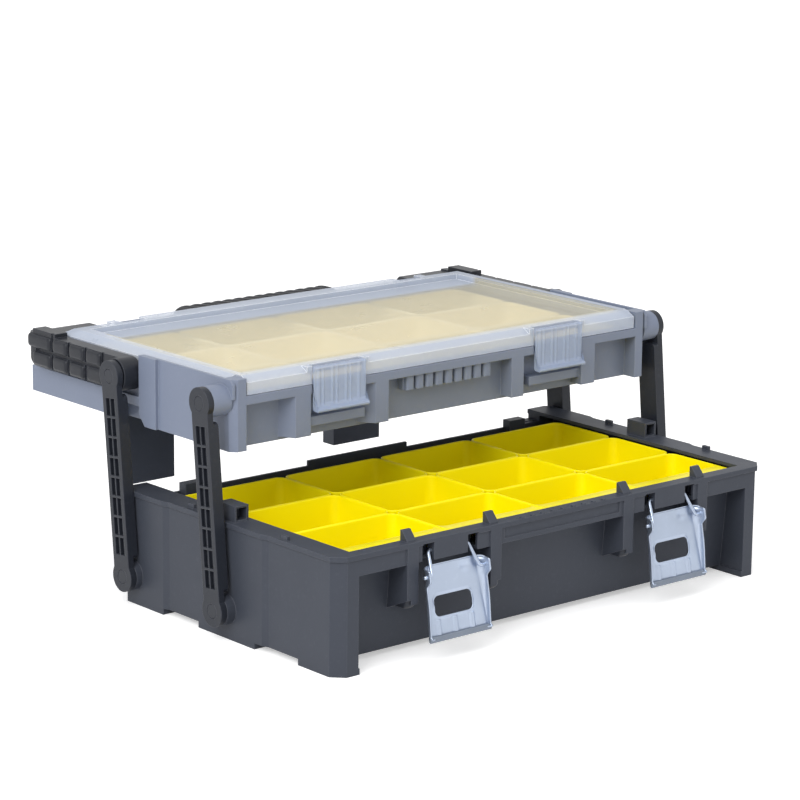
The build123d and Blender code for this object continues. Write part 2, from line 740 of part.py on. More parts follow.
with BuildPart() as lid:
    with BuildSketch(tray_level(lid_low)):
        with Locations((0, (lid_front + tray_body_length) / 2)):
            Rectangle(2 * lid_half, tray_body_length - lid_front)
    extrude(amount=lid_skirt)
    lid_inner = box_points(
        (lid_front + lid_wall, lid_low - 1), (tray_body_length - lid_wall, lid_top - lid_wall)
    )
    span(lid_inner, tray_section, lid_wall - lid_half, lid_half - lid_wall, Mode.SUBTRACT)
    # sunken panel inside a raised border
    panel = box_points(
        (lid_front + lid_border, lid_top - lid_sink - lid_wall), (tray_body_length - lid_border, lid_top)
    )
    span(panel, tray_section, lid_border - lid_half, lid_half - lid_border)
    sunk = box_points(
        (lid_front + lid_border + lid_wall, lid_top - lid_sink),
        (tray_body_length - lid_border - lid_wall, lid_top + 1),
    )
    span(
        sunk, tray_section, lid_border + lid_wall - lid_half, lid_half - lid_border - lid_wall, Mode.SUBTRACT
    )
    # walls under the slopes of the border
    for side in (-1, 1):
        slope_run = tray_body_length - lid_front - 2
        carry(slope_under(side * lid_half, -side), tray_face(tray_body_length - 1), slope_run)
    pair(slope_under(tray_body_length, -1), tray_section, lid_ridge_half - lid_wall, lid_half - 1)
    span(slope_under(lid_front, 1), tray_section, 1 - lid_half, lid_half - 1)
    # front corners notched round the tray's posts, with a wall along each notch
    corner_wall = box_points((lid_front, lid_low), (post_depth + 1.5 + lid_wall, lid_top))
    corner_notch = box_points((lid_front - 1, lid_low - 1), (post_depth + 1.5, lid_top + 1))
    pair(corner_wall, tray_section, post_inner - 1.5 - lid_wall, lid_half)
    pair(corner_notch, tray_section, post_inner - 1.5, lid_half + 1, Mode.SUBTRACT)
    # the rear skirt is short, so that it swings clear of the tray's wall
    back_cut = box_points(
        (tray_body_length - lid_wall - 0.01, lid_low - 1),
        (tray_body_length + 1, lid_low + 1.5),
    )
    span(back_cut, tray_section, -lid_half - 1, lid_half + 1, Mode.SUBTRACT)
    # cheeks round the hinge ears, and the slots that clear them
    cheek_block = box_points((hinge_y - 4.0, hinge_z - 4.0), (tray_body_length, lid_top))
    slot = box_points((hinge_y - 8.0, lid_low - 1), (tray_body_length + 1, lid_top + 1))
    pair(cheek_block, tray_section, hinge_x - notch_half - cheek, hinge_x + notch_half + cheek)
    pair(slot, tray_section, hinge_x - notch_half, hinge_x + notch_half, Mode.SUBTRACT)
    for side in (-1, 1):
        with BuildSketch(tray_section(side * hinge_x)) as bore:
            with Locations((hinge_y, hinge_z)):
                Circle(hinge_pin_radius + pin_clearance)
        extrude(bore.sketch, amount=notch_half + cheek - 1.5, both=True, mode=Mode.SUBTRACT)
    # knuckles for the two lid latches in the front border
    front_block = box_points((lid_front, knuckle_z - 3.6), (lid_front + 8, lid_top))
    front_slot = box_points((lid_front - 1, lid_low - 1), (lid_front + 6.5, lid_top + 1))
    pair(front_block, tray_section, latch_x - latch_notch_half - 5, latch_x + latch_notch_half + 5)
    pair(front_slot, tray_section, latch_x - latch_notch_half, latch_x + latch_notch_half, Mode.SUBTRACT)
    for side in (-1, 1):
        with BuildSketch(tray_section(side * latch_x)) as bore:
            with Locations((knuckle_y, knuckle_z)):
                Circle(1.2 + pin_seat)
        extrude(bore.sketch, amount=latch_notch_half + 4, both=True, mode=Mode.SUBTRACT)
    # the border slopes down to its outer edge, except beside the latches and along the hinges
    for side in (-1, 1):
        carry(
            slope_over(side * lid_half, -side),
            tray_face(tray_body_length + 1),
            tray_body_length - lid_front + 2,
            Mode.SUBTRACT,
        )
    pair(slope_over(tray_body_length, -1), tray_section, lid_ridge_half, lid_half + 1, Mode.SUBTRACT)
    pair(slope_over(lid_front, 1), tray_section, front_ridge_far, lid_half + 1, Mode.SUBTRACT)
    span(slope_over(lid_front, 1), tray_section, -front_ridge_near, front_ridge_near, Mode.SUBTRACT)
keep(lid, "lid")


def rod(plane, radius, half_length):
    """A plain pin, centred on a plane and standing along its normal both ways."""
    with BuildPart() as piece:
        with BuildSketch(plane) as face:
            Circle(radius)
        extrude(face.sketch, amount=half_length, both=True)
    return piece


for side_name, side in sides.items():
    hinge_plane = Plane(
        origin=(side * hinge_x, tray_y + hinge_y, tray_z + hinge_z), x_dir=(0, 1, 0), z_dir=(1, 0, 0)
    )
    keep(rod(hinge_plane, hinge_pin_radius, notch_half + cheek - 2), f"lid_hinge_pin_{side_name}")
    latch_plane = Plane(
        origin=(side * latch_x, tray_y + knuckle_y, tray_z + knuckle_z), x_dir=(0, 1, 0), z_dir=(1, 0, 0)
    )
    keep(rod(latch_plane, 1.2, latch_notch_half + 3.5), f"lid_latch_pin_{side_name}")


def lid_latch(centre):
    """A clear snap latch: a knuckle, a ribbed face and a lip that turns out at the bottom."""
    low = knuckle_z + knuckle_radius - lid_latch_height
    outline = [
        (knuckle_y, knuckle_z + knuckle_radius),
        (-2.8, knuckle_z + knuckle_radius),
        (-2.8, low + 2.5),
        (-2.8 - lid_latch_lip, low + 1.0),
        (-2.8 - lid_latch_lip, low - 1.0),
        (-0.6, low),
        (-0.6, knuckle_z - 2.4),
        (knuckle_y, knuckle_z - knuckle_radius),
    ]
    half = lid_latch_width / 2
    with BuildPart() as piece:
        span(outline, tray_section, centre - half, centre + half)
        with BuildSketch(tray_section(centre)) as knuckle:
            with Locations((knuckle_y, knuckle_z)):
                Circle(knuckle_radius)
        extrude(knuckle.sketch, amount=half, both=True)
        for rib in (-18.0, -14.0, 0.0, 4.0, 16.0, 20.0):
            strip = box_points((-3.6, low + 3), (-2.7, knuckle_z))
            span(strip, tray_section, centre + rib - 0.9, centre + rib + 0.9)
        with BuildSketch(tray_section(centre)) as bore:
            with Locations((knuckle_y, knuckle_z)):
                Circle(1.2 + pin_clearance)
        extrude(bore.sketch, amount=half + 1, both=True, mode=Mode.SUBTRACT)
    return piece


for side_name, side in sides.items():
    keep(lid_latch(side * latch_x), f"lid_latch_{side_name}")


# Arms and their pins
def arm(side, y):
    """A cantilever arm with round heads, a thick ribbed waist and a ladder pressed into its face."""
    along = (0, sin(radians(arm_lean)), cos(radians(arm_lean)))
    face = Plane(origin=(side * arm_inner, y, pivot_height), x_dir=along, z_dir=(side, 0, 0))
    middle = arm_length / 2
    run = arm_length - 2 * arm_shoulder
    bay = run / ladder_bays
    with BuildPart() as piece:
        with BuildSketch(face) as heads:
            with Locations((0, 0), (arm_length, 0)):
                Circle(arm_head_radius)
            with Locations((middle, 0)):
                Rectangle(arm_length, arm_waist)
        extrude(heads.sketch, amount=arm_head_thickness)
        with BuildSketch(face) as back:
            with Locations((middle, 0)):
                RectangleRounded(run + 4, arm_waist, 4)
        extrude(back.sketch, amount=-arm_back_depth)
        with BuildSketch(face.offset(arm_head_thickness)) as ladder:
            with Locations((middle, 0)):
                with GridLocations(bay, ladder_width / 2, ladder_bays, 2):
                    Rectangle(bay - ladder_rib, ladder_width / 2 - ladder_rib / 2)
        extrude(ladder.sketch, amount=-ladder_depth, mode=Mode.SUBTRACT)
        with BuildSketch(face) as bores:
            with Locations((0, 0), (arm_length, 0)):
                Circle(pin_radius + pin_clearance)
        extrude(bores.sketch, amount=arm_head_thickness + 1, mode=Mode.SUBTRACT)
        with BuildSketch(face.offset(arm_head_thickness - pin_head_height)) as seats:
            with Locations((0, 0), (arm_length, 0)):
                Circle(pin_head_radius + 0.3)
        extrude(seats.sketch, amount=pin_head_height + 1, mode=Mode.SUBTRACT)
    return piece


def pivot_pin(side, y, z, inner):
    """A headed pin, its head flush in the arm and its shank reaching in to the distance inner."""
    outer = Plane(origin=(side * arm_outer, y, z), x_dir=(0, 1, 0), z_dir=(-side, 0, 0))
    with BuildPart() as piece:
        with BuildSketch(outer.offset(0.1)) as head:
            Circle(pin_head_radius)
        extrude(head.sketch, amount=pin_head_height - 0.2)
        with BuildSketch(outer.offset(0.1)) as shank:
            Circle(pin_radius)
        extrude(shank.sketch, amount=arm_outer - inner)
    return piece


upper_pin_inner = {"front": tray_half - tray_wall + 0.5, "rear": tray_rear_half}
for side_name, side in sides.items():
    for end in ("front", "rear"):
        keep(arm(side, lower_pivots[end]), f"arm_{end}_{side_name}")
        keep(
            pivot_pin(side, lower_pivots[end], pivot_height, inner_half + 0.5),
            f"lower_pin_{end}_{side_name}",
        )
        keep(
            pivot_pin(side, upper_pivots[end], upper_pivot_z, upper_pin_inner[end]),
            f"upper_pin_{end}_{side_name}",
        )

# Handle, folded back behind the lid
handle_inner = handle_outer - handle_thickness
bar_back = handle_reach
bar_front = handle_reach - crossbar_depth


def handle_section(x):
    """The plane across X at x, measured from the handle's pivot."""
    return Plane(origin=(x, upper_pivots["rear"], upper_pivot_z), x_dir=(0, 1, 0), z_dir=(1, 0, 0))


with BuildPart() as handle:
    for side in (-1, 1):
        with BuildSketch(handle_section(side * handle_inner)) as hub:
            Circle(handle_height / 2)
        extrude(hub.sketch, amount=side * handle_thickness)
        with BuildSketch(handle_section(side * handle_inner)) as rail:
            with Locations((bar_back / 2, 0)):
                Rectangle(bar_back, handle_height)
        extrude(rail.sketch, amount=side * (handle_side - handle_inner))
    cross = box_points((bar_front, -crossbar_height / 2), (bar_back, crossbar_height / 2))
    span(cross, handle_section, -handle_inner - 1, handle_inner + 1)
    # the crossbar is slimmer where the grip sleeve goes round it
    for low, high in (
        ((bar_front - 1, -crossbar_height), (bar_front + grip_wall, crossbar_height)),
        ((bar_back - grip_wall, -crossbar_height), (bar_back + 1, crossbar_height)),
        ((bar_front - 1, crossbar_height / 2 - grip_wall), (bar_back + 1, crossbar_height)),
        ((bar_front - 1, -crossbar_height), (bar_back + 1, grip_wall - crossbar_height / 2)),
    ):
        span(box_points(low, high), handle_section, -grip_half, grip_half, Mode.SUBTRACT)
    corners = handle.edges().filter_by(Axis.Z).group_by(Axis.Y)[-1].sort_by(Axis.X)
    fillet([corners[0], corners[-1]], handle_corner)
    # the lower rear corner of each side arm is cut off, and a low plate stands on its top near the end
    end_cut = [
        (bar_back - handle_end_run, -handle_height / 2),
        (bar_back, handle_end_cut - handle_height / 2),
        (bar_back + 1, handle_end_cut - handle_height / 2),
        (bar_back + 1, -handle_height / 2 - 1),
        (bar_back - handle_end_run, -handle_height / 2 - 1),
    ]
    pair(end_cut, handle_section, handle_inner + 0.01, handle_side + 1, Mode.SUBTRACT)
    corner_plate = box_points(
        (bar_back - corner_plate_setback - corner_plate_length, handle_height / 2 - 1),
        (bar_back - corner_plate_setback, handle_height / 2 + corner_plate_height),
    )
    pair(corner_plate, handle_section, handle_inner, handle_side)
    # the crossbar's top is lower between the grip and its two ends
    bar_face = Plane(
        origin=(0, upper_pivots["rear"] + bar_back + 1, upper_pivot_z), x_dir=(1, 0, 0), z_dir=(0, -1, 0)
    )
    for side in (-1, 1):
        waist = [
            (side * grip_half, crossbar_waist),
            (side * crossbar_waist_end, crossbar_waist),
            (side * (crossbar_waist_end + crossbar_waist_run), crossbar_height / 2 + 0.5),
            (side * grip_half, crossbar_height / 2 + 0.5),
        ]
        carry(waist, bar_face, crossbar_depth + 2, Mode.SUBTRACT)
    # grooves divide the outer face of each side arm into two rows of raised blocks
    for side in (-1, 1):
        near, far = sorted((side * (handle_side - block_proud), side * (handle_side + 1)))
        for n in range(handle_blocks):
            y = 22.0 + 24.0 * n
            groove = box_points((y, -handle_height), (y + 3.0, handle_height))
            span(groove, handle_section, near, far, Mode.SUBTRACT)
        split_line = box_points((22.0, -1.2), (bar_back - 14, 1.2))
        span(split_line, handle_section, near, far, Mode.SUBTRACT)
    with BuildSketch(handle_section(-handle_outer - 1)) as hub_bore:
        Circle(pin_radius + pin_clearance)
    extrude(hub_bore.sketch, amount=2 * handle_outer + 2, mode=Mode.SUBTRACT)
keep(handle, "handle")

grip_ring = [
    (bar_front - 1.5, -grip_low),
    (bar_back + 1.5, -grip_low),
    (bar_back + 3.5, -grip_low + 3),
    (bar_back + 3.5, grip_top - 5),
    (bar_back - 1.5, grip_top),
    (bar_front + 1.5, grip_top),
    (bar_front - 3.0, grip_top - 5),
    (bar_front - 3.0, -grip_low + 3),
]
with BuildPart() as handle_grip:
    for n in range(grip_rings):
        start = -grip_half + 0.1 + n * 2 * (grip_half - 0.1) / grip_rings
        width = 2 * (grip_half - 0.1) / grip_rings
        span(grip_ring, handle_section, start, start + width - 2.6)
        groove_ring = [(y, z * 0.86) for y, z in grip_ring]
        span(groove_ring, handle_section, start, start + width)
    core = box_points(
        (bar_front + grip_wall, grip_wall - crossbar_height / 2),
        (bar_back - grip_wall, crossbar_height / 2 - grip_wall),
    )
    span(core, handle_section, -grip_half, grip_half, Mode.SUBTRACT)
keep(handle_grip, "handle_grip")

# Legs that hang from the back of the tray and stand behind the tub when the box is shut
leg_front = tray_length - leg_depth
for side_name, side in sides.items():
    near, far = sorted((side * leg_inner, side * leg_outer))
    with BuildPart() as leg:
        outer = box_points((leg_front, -leg_drop), (tray_length, 0))
        inner = box_points((leg_front + leg_wall, -leg_drop - 1), (tray_length + 1, -leg_wall))
        span(outer, tray_section, near, far)
        span(inner, tray_section, near + leg_wall, far - leg_wall, Mode.SUBTRACT)
    keep(leg, f"rear_leg_{side_name}")


# Draw latches: a bent wire held in the tub's bar, and a pressed plate hanging from it
def latch_wire(centre):
    """A round wire: a rod along the bar, two legs down and forward, and ends turned outwards."""
    low = (wire_y - wire_forward, wire_z - wire_drop)
    route = [
        (centre - wire_ear, *low),
        (centre - wire_half, *low),
        (centre - wire_half, wire_y, wire_z),
        (centre + wire_half, wire_y, wire_z),
        (centre + wire_half, *low),
        (centre + wire_ear, *low),
    ]
    with BuildPart() as piece:
        with BuildLine():
            Polyline(*route)
        with BuildSketch(Plane(origin=route[0], z_dir=(1, 0, 0))):
            Circle(wire_radius)
        sweep(transition=Transition.RIGHT)
    return piece


def latch_plate(centre):
    """The plate: a sheet with side flanges that hold the wire, a slot, ribs and a rolled lip."""
    t = radians(plate_tilt)
    hang = Plane(
        origin=(centre, wire_y - wire_forward, wire_z - wire_drop),
        x_dir=(1, 0, 0),
        z_dir=(0, -cos(t), sin(t)),
    )
    half = plate_width / 2
    sheet = hang.offset(-plate_offset)
    length = plate_up + plate_down
    with BuildPart() as piece:
        with BuildSketch(sheet) as face:
            with Locations((0, (plate_up - plate_down) / 2)):
                Rectangle(plate_width, length)
            with Locations((-3, -24)):
                RectangleRounded(38, 16, 4.5, mode=Mode.SUBTRACT)
        extrude(face.sketch, amount=plate_sheet)
        for end in (-1, 1):
            flange = Plane(origin=hang.origin, x_dir=hang.y_dir, z_dir=(1, 0, 0)).offset(
                end * (half - plate_sheet / 2) - plate_sheet / 2
            )
            side_outline = [
                (plate_up, -plate_offset),
                (plate_up, 2.0),
                (plate_up - 3, 3.6),
                (-5, 3.6),
                (-12, -1.2),
                (-plate_down, -2.6),
                (-plate_down, -plate_offset),
            ]
            flip = -1 if flange.y_dir.dot(hang.z_dir) < 0 else 1
            carry([(a, flip * b) for a, b in side_outline], flange, plate_sheet)
        lip = Plane(origin=hang.origin, x_dir=hang.y_dir, z_dir=(1, 0, 0)).offset(-half)
        flip = -1 if lip.y_dir.dot(hang.z_dir) < 0 else 1
        lip_outline = [
            (-plate_down, -plate_offset),
            (-plate_down + 1.6, -plate_offset),
            (-plate_down + 1.6, 0.6),
            (-plate_down, 0.6),
        ]
        carry([(a, flip * b) for a, b in lip_outline], lip, plate_width)
        with BuildSketch(hang.offset(-plate_offset + plate_sheet)) as ribs:
            with GridLocations(17, 1, 3, 1):
                with Locations((0, -41)):
                    SlotOverall(12, 2.4, rotation=90)
        extrude(ribs.sketch, amount=0.8)
        with BuildSketch(Plane(origin=hang.origin, x_dir=(0, 1, 0), z_dir=(1, 0, 0))) as eyes:
            Circle(wire_radius + pin_clearance)
        extrude(eyes.sketch, amount=half + 1, both=True, mode=Mode.SUBTRACT)
    return piece


for side_name, side in sides.items():
    keep(latch_wire(side * latch_x), f"latch_wire_{side_name}")
    keep(latch_plate(side * latch_x), f"latch_plate_{side_name}")
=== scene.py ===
import json

import bpy
import numpy as np
from mathutils import Matrix, Vector


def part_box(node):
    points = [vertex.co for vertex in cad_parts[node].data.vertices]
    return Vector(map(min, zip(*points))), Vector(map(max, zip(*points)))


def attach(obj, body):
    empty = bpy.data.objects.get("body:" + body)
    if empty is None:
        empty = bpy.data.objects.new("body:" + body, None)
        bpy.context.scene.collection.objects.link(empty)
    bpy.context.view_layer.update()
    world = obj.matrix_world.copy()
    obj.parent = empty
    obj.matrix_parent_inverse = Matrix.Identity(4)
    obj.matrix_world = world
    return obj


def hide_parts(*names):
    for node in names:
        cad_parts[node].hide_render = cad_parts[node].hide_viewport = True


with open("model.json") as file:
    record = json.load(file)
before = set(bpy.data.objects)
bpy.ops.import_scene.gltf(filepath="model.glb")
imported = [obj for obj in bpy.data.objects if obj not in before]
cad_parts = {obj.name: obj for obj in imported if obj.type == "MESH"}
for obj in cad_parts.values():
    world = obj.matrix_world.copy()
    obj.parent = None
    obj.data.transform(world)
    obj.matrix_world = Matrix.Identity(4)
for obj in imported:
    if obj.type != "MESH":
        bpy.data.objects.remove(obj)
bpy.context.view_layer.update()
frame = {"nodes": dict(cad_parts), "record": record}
nodes = frame["nodes"]
MM = 0.001

# Places on the part, in millimetres from the middle of the tub's underside
SIDES = {-1: "left", 1: "right"}
TUB_FRONT = -135.0
LATCH_X = 118.0
PLATE_HINGE = (-141.0, 66.5)
PLATE_SLANT = 11.5
HANDLE_PIVOT = (135.32, 186.75)
FRONT_ROW_LIP = 19.0


# Shader groups shared by the finishes


def new_group(name, inputs, outputs):
    """An empty shader group with named sockets: (name, kind, default) going in, (name, kind) coming out."""
    group = bpy.data.node_groups.new(name, "ShaderNodeTree")
    for label, kind, value in inputs:
        socket = group.interface.new_socket(name=label, in_out="INPUT", socket_type=kind)
        socket.default_value = value
    for label, kind in outputs:
        group.interface.new_socket(name=label, in_out="OUTPUT", socket_type=kind)
    return group, group.nodes.new("NodeGroupInput"), group.nodes.new("NodeGroupOutput")


def mottled_tint_group():
    """Colour = tint * (1 + spread * (slow noise - 0.5)), lightened towards the Dust colour where a finer
    noise is high.
    """
    group, given, result = new_group(
        "mottled tint",
        [
            ("Tint", "NodeSocketColor", (0.5, 0.5, 0.5, 1)),
            ("Dust", "NodeSocketColor", (0.5, 0.5, 0.5, 1)),
            ("Spread", "NodeSocketFloat", 0.2),
            ("Dust Amount", "NodeSocketFloat", 0.1),
            ("Scale", "NodeSocketFloat", 12.0),
        ],
        [("Colour", "NodeSocketColor")],
    )
    n, link = group.nodes, group.links.new
    place = n.new("ShaderNodeTexCoord")
    slow = n.new("ShaderNodeTexNoise")
    slow.inputs["Detail"].default_value = 3
    link(place.outputs["Object"], slow.inputs["Vector"])
    link(given.outputs["Scale"], slow.inputs["Scale"])
    centred = n.new("ShaderNodeMath")
    centred.operation = "SUBTRACT"
    link(slow.outputs["Fac"], centred.inputs[0])
    centred.inputs[1].default_value = 0.5
    gain = n.new("ShaderNodeMath")
    gain.operation = "MULTIPLY_ADD"
    link(centred.outputs[0], gain.inputs[0])
    link(given.outputs["Spread"], gain.inputs[1])
    gain.inputs[2].default_value = 1.0
    scaled = n.new("ShaderNodeVectorMath")
    scaled.operation = "SCALE"
    link(given.outputs["Tint"], scaled.inputs[0])
    link(gain.outputs[0], scaled.inputs["Scale"])
    speck = n.new("ShaderNodeTexNoise")
    speck.inputs["Scale"].default_value = 260
    speck.inputs["Detail"].default_value = 4
    link(place.outputs["Object"], speck.inputs["Vector"])
    patch = n.new("ShaderNodeMapRange")
    patch.inputs["From Min"].default_value = 0.56
    patch.inputs["From Max"].default_value = 0.74
    link(speck.outputs["Fac"], patch.inputs["Value"])
    amount = n.new("ShaderNodeMath")
    amount.operation = "MULTIPLY"
    link(patch.outputs["Result"], amount.inputs[0])
    link(given.outputs["Dust Amount"], amount.inputs[1])
    mix = n.new("ShaderNodeMix")
    mix.data_type = "RGBA"
    link(amount.outputs[0], mix.inputs["Factor"])
    link(scaled.outputs[0], mix.inputs[6])
    link(given.outputs["Dust"], mix.inputs[7])
    link(mix.outputs[2], result.inputs["Colour"])
    return group


def spark_grain_group():
    """Height = the mould's spark-eroded grain; Roughness = base + spread * (a wider noise - 0.5)."""
    group, given, result = new_group(
        "moulded grain",
        [
            ("Scale", "NodeSocketFloat", 900.0),
            ("Base", "NodeSocketFloat", 0.45),
            ("Spread", "NodeSocketFloat", 0.2),
        ],
        [("Height", "NodeSocketFloat"), ("Roughness", "NodeSocketFloat")],
    )
    n, link = group.nodes, group.links.new
    place = n.new("ShaderNodeTexCoord")
    grain = n.new("ShaderNodeTexNoise")
    grain.inputs["Detail"].default_value = 2
    link(place.outputs["Object"], grain.inputs["Vector"])
    link(given.outputs["Scale"], grain.inputs["Scale"])
    link(grain.outputs["Fac"], result.inputs["Height"])
    wide = n.new("ShaderNodeTexNoise")
    wide.inputs["Scale"].default_value = 38
    wide.inputs["Detail"].default_value = 5
    link(place.outputs["Object"], wide.inputs["Vector"])
    centred = n.new("ShaderNodeMath")
    centred.operation = "SUBTRACT"
    link(wide.outputs["Fac"], centred.inputs[0])
    centred.inputs[1].default_value = 0.5
    rough = n.new("ShaderNodeMath")
    rough.operation = "MULTIPLY_ADD"
    link(centred.outputs[0], rough.inputs[0])
    link(given.outputs["Spread"], rough.inputs[1])
    link(given.outputs["Base"], rough.inputs[2])
    link(rough.outputs[0], result.inputs["Roughness"])
    return group


def softened_edge_group():
    """Normal = the rounded edge's normal; Edge = gain * (1 - dot(rounded normal, flat normal)), up to 1."""
    group, given, result = new_group(
        "softened edge",
        [("Gain", "NodeSocketFloat", 6.0)],
        [("Normal", "NodeSocketVector"), ("Edge", "NodeSocketFloat")],
    )
    n, link = group.nodes, group.links.new
    soft = n.new("ShaderNodeBevel")
    soft.samples = 6
    soft.inputs["Radius"].default_value = 1.0 * MM
    link(soft.outputs["Normal"], result.inputs["Normal"])
    flat = n.new("ShaderNodeNewGeometry")
    turned = n.new("ShaderNodeVectorMath")
    turned.operation = "DOT_PRODUCT"
    link(soft.outputs["Normal"], turned.inputs[0])
    link(flat.outputs["True Normal"], turned.inputs[1])
    away = n.new("ShaderNodeMath")
    away.operation = "SUBTRACT"
    away.use_clamp = True
    away.inputs[0].default_value = 1.0
    link(turned.outputs["Value"], away.inputs[1])
    gain = n.new("ShaderNodeMath")
    gain.operation = "MULTIPLY"
    gain.use_clamp = True
    link(away.outputs[0], gain.inputs[0])
    link(given.outputs["Gain"], gain.inputs[1])
    link(gain.outputs[0], result.inputs["Edge"])
    return group


tint_group = mottled_tint_group()
grain_group = spark_grain_group()
edge_group = softened_edge_group()


# Finishes


def finish_material(
    name, tint, dust_and_highlight, rough, spread=0.22, dust_amount=0.05, scale=9.0, grain=1100.0, bump=0.10,
    rough_spread=0.16, metallic=0.0, edge_highlight=0.35, gloss=0.5, coat=0.0, alpha=1.0,
):
    """A Principled finish whose colour, gloss, relief and painted edge highlights come from the shared
    groups.

    Rounded edges are lightened towards the dust colour by the given share, a painted highlight. A
    smooth piece, given None for that share, keeps its own normals and has no painted highlight.
    """
    material = bpy.data.materials.new(name)
    material.use_nodes = True
    tree = material.node_tree
    n, link = tree.nodes, tree.links.new
    shader = n["Principled BSDF"]
    shader.inputs["Metallic"].default_value = metallic
    shader.inputs["Specular IOR Level"].default_value = gloss
    shader.inputs["Coat Weight"].default_value = coat
    shader.inputs["Coat Roughness"].default_value = 0.2
    shader.inputs["Alpha"].default_value = alpha
    colour = n.new("ShaderNodeGroup")
    colour.node_tree = tint_group
    colour.inputs["Tint"].default_value = (*tint, 1)
    colour.inputs["Dust"].default_value = (*dust_and_highlight, 1)
    colour.inputs["Spread"].default_value = spread
    colour.inputs["Dust Amount"].default_value = dust_amount
    colour.inputs["Scale"].default_value = scale
    relief = n.new("ShaderNodeGroup")
    relief.node_tree = grain_group
    relief.inputs["Scale"].default_value = grain
    relief.inputs["Base"].default_value = rough
    relief.inputs["Spread"].default_value = rough_spread
    link(relief.outputs["Roughness"], shader.inputs["Roughness"])
    bumped = n.new("ShaderNodeBump")
    bumped.inputs["Strength"].default_value = bump
    bumped.inputs["Distance"].default_value = 0.0006
    link(relief.outputs["Height"], bumped.inputs["Height"])
    if edge_highlight is None:
        link(colour.outputs["Colour"], shader.inputs["Base Color"])
    else:
        edge = n.new("ShaderNodeGroup")
        edge.node_tree = edge_group
        link(edge.outputs["Normal"], bumped.inputs["Normal"])
        # Painted highlight: the edge mask times the given share lightens rounded edges towards the dust
        # colour.
        share = n.new("ShaderNodeMath")
        share.operation = "MULTIPLY"
        share.inputs[1].default_value = edge_highlight
        link(edge.outputs["Edge"], share.inputs[0])
        painted_edge_highlight = n.new("ShaderNodeMix")
        painted_edge_highlight.data_type = "RGBA"
        painted_edge_highlight.inputs[7].default_value = (*dust_and_highlight, 1)
        link(share.outputs[0], painted_edge_highlight.inputs["Factor"])
        link(colour.outputs["Colour"], painted_edge_highlight.inputs[6])
        link(painted_edge_highlight.outputs[2], shader.inputs["Base Color"])
    link(bumped.outputs["Normal"], shader.inputs["Normal"])
    return material


finishes = {
    "charcoal": finish_material(
        "charcoal moulding", (0.046, 0.052, 0.068), (0.16, 0.17, 0.20), 0.46, gloss=0.22
    ),
    "pin_dark": finish_material("pivot head", (0.020, 0.023, 0.031), (0.10, 0.11, 0.14), 0.36, gloss=0.25),
    "cup_yellow": finish_material(
        "yellow cup", (1.0, 0.86, 0.0), (1.0, 0.93, 0.35), 0.36, spread=0.04, dust_amount=0.02,
        edge_highlight=None, gloss=0.2,
    ),
    "cup_cream": finish_material(
        "cream cup", (0.95, 0.86, 0.58), (0.9, 0.86, 0.7), 0.38, spread=0.05, dust_amount=0.04, edge_highlight=None
    ),
    "slate": finish_material(
        "slate moulding", (0.182, 0.212, 0.288), (0.36, 0.40, 0.48), 0.42, spread=0.12, gloss=0.3
    ),
    "pin_steel": finish_material(
        "hinge rod", (0.55, 0.56, 0.58), (0.6, 0.6, 0.6), 0.32, metallic=1.0, edge_highlight=None
    ),
    "dark_grey": finish_material("leg moulding", (0.050, 0.058, 0.078), (0.14, 0.15, 0.18), 0.5, gloss=0.3),
    "zinc": finish_material(
        "zinc plate", (0.40, 0.46, 0.57), (0.62, 0.68, 0.78), 0.32, metallic=0.85, spread=0.40, scale=22,
        dust_amount=0.1, bump=0.05, edge_highlight=None,
    ),
    "black": finish_material("handle moulding", (0.016, 0.018, 0.024), (0.13, 0.14, 0.17), 0.38, gloss=0.25),
    "grip_black": finish_material(
        "grip sleeve", (0.016, 0.017, 0.021), (0.1, 0.1, 0.1), 0.42, edge_highlight=None, gloss=0.3
    ),
    "arm_dark": finish_material("arm moulding", (0.019, 0.022, 0.030), (0.13, 0.14, 0.17), 0.38, gloss=0.25),
    # Painted shade: a darker copy of the zinc for the plate's rolled lip, which faces down.
    "zinc_fold_painted_shade": finish_material(
        "zinc fold painted shade", (0.19, 0.22, 0.27), (0.4, 0.44, 0.5), 0.38, metallic=0.8, spread=0.3, scale=40, edge_highlight=None
    ),
    "latch_clear": finish_material(
        "clear latch", (0.44, 0.52, 0.69), (0.85, 0.9, 1.0), 0.24, spread=0.1, dust_amount=0.08, bump=0.04,
        edge_highlight=None, alpha=0.5,
    ),
}


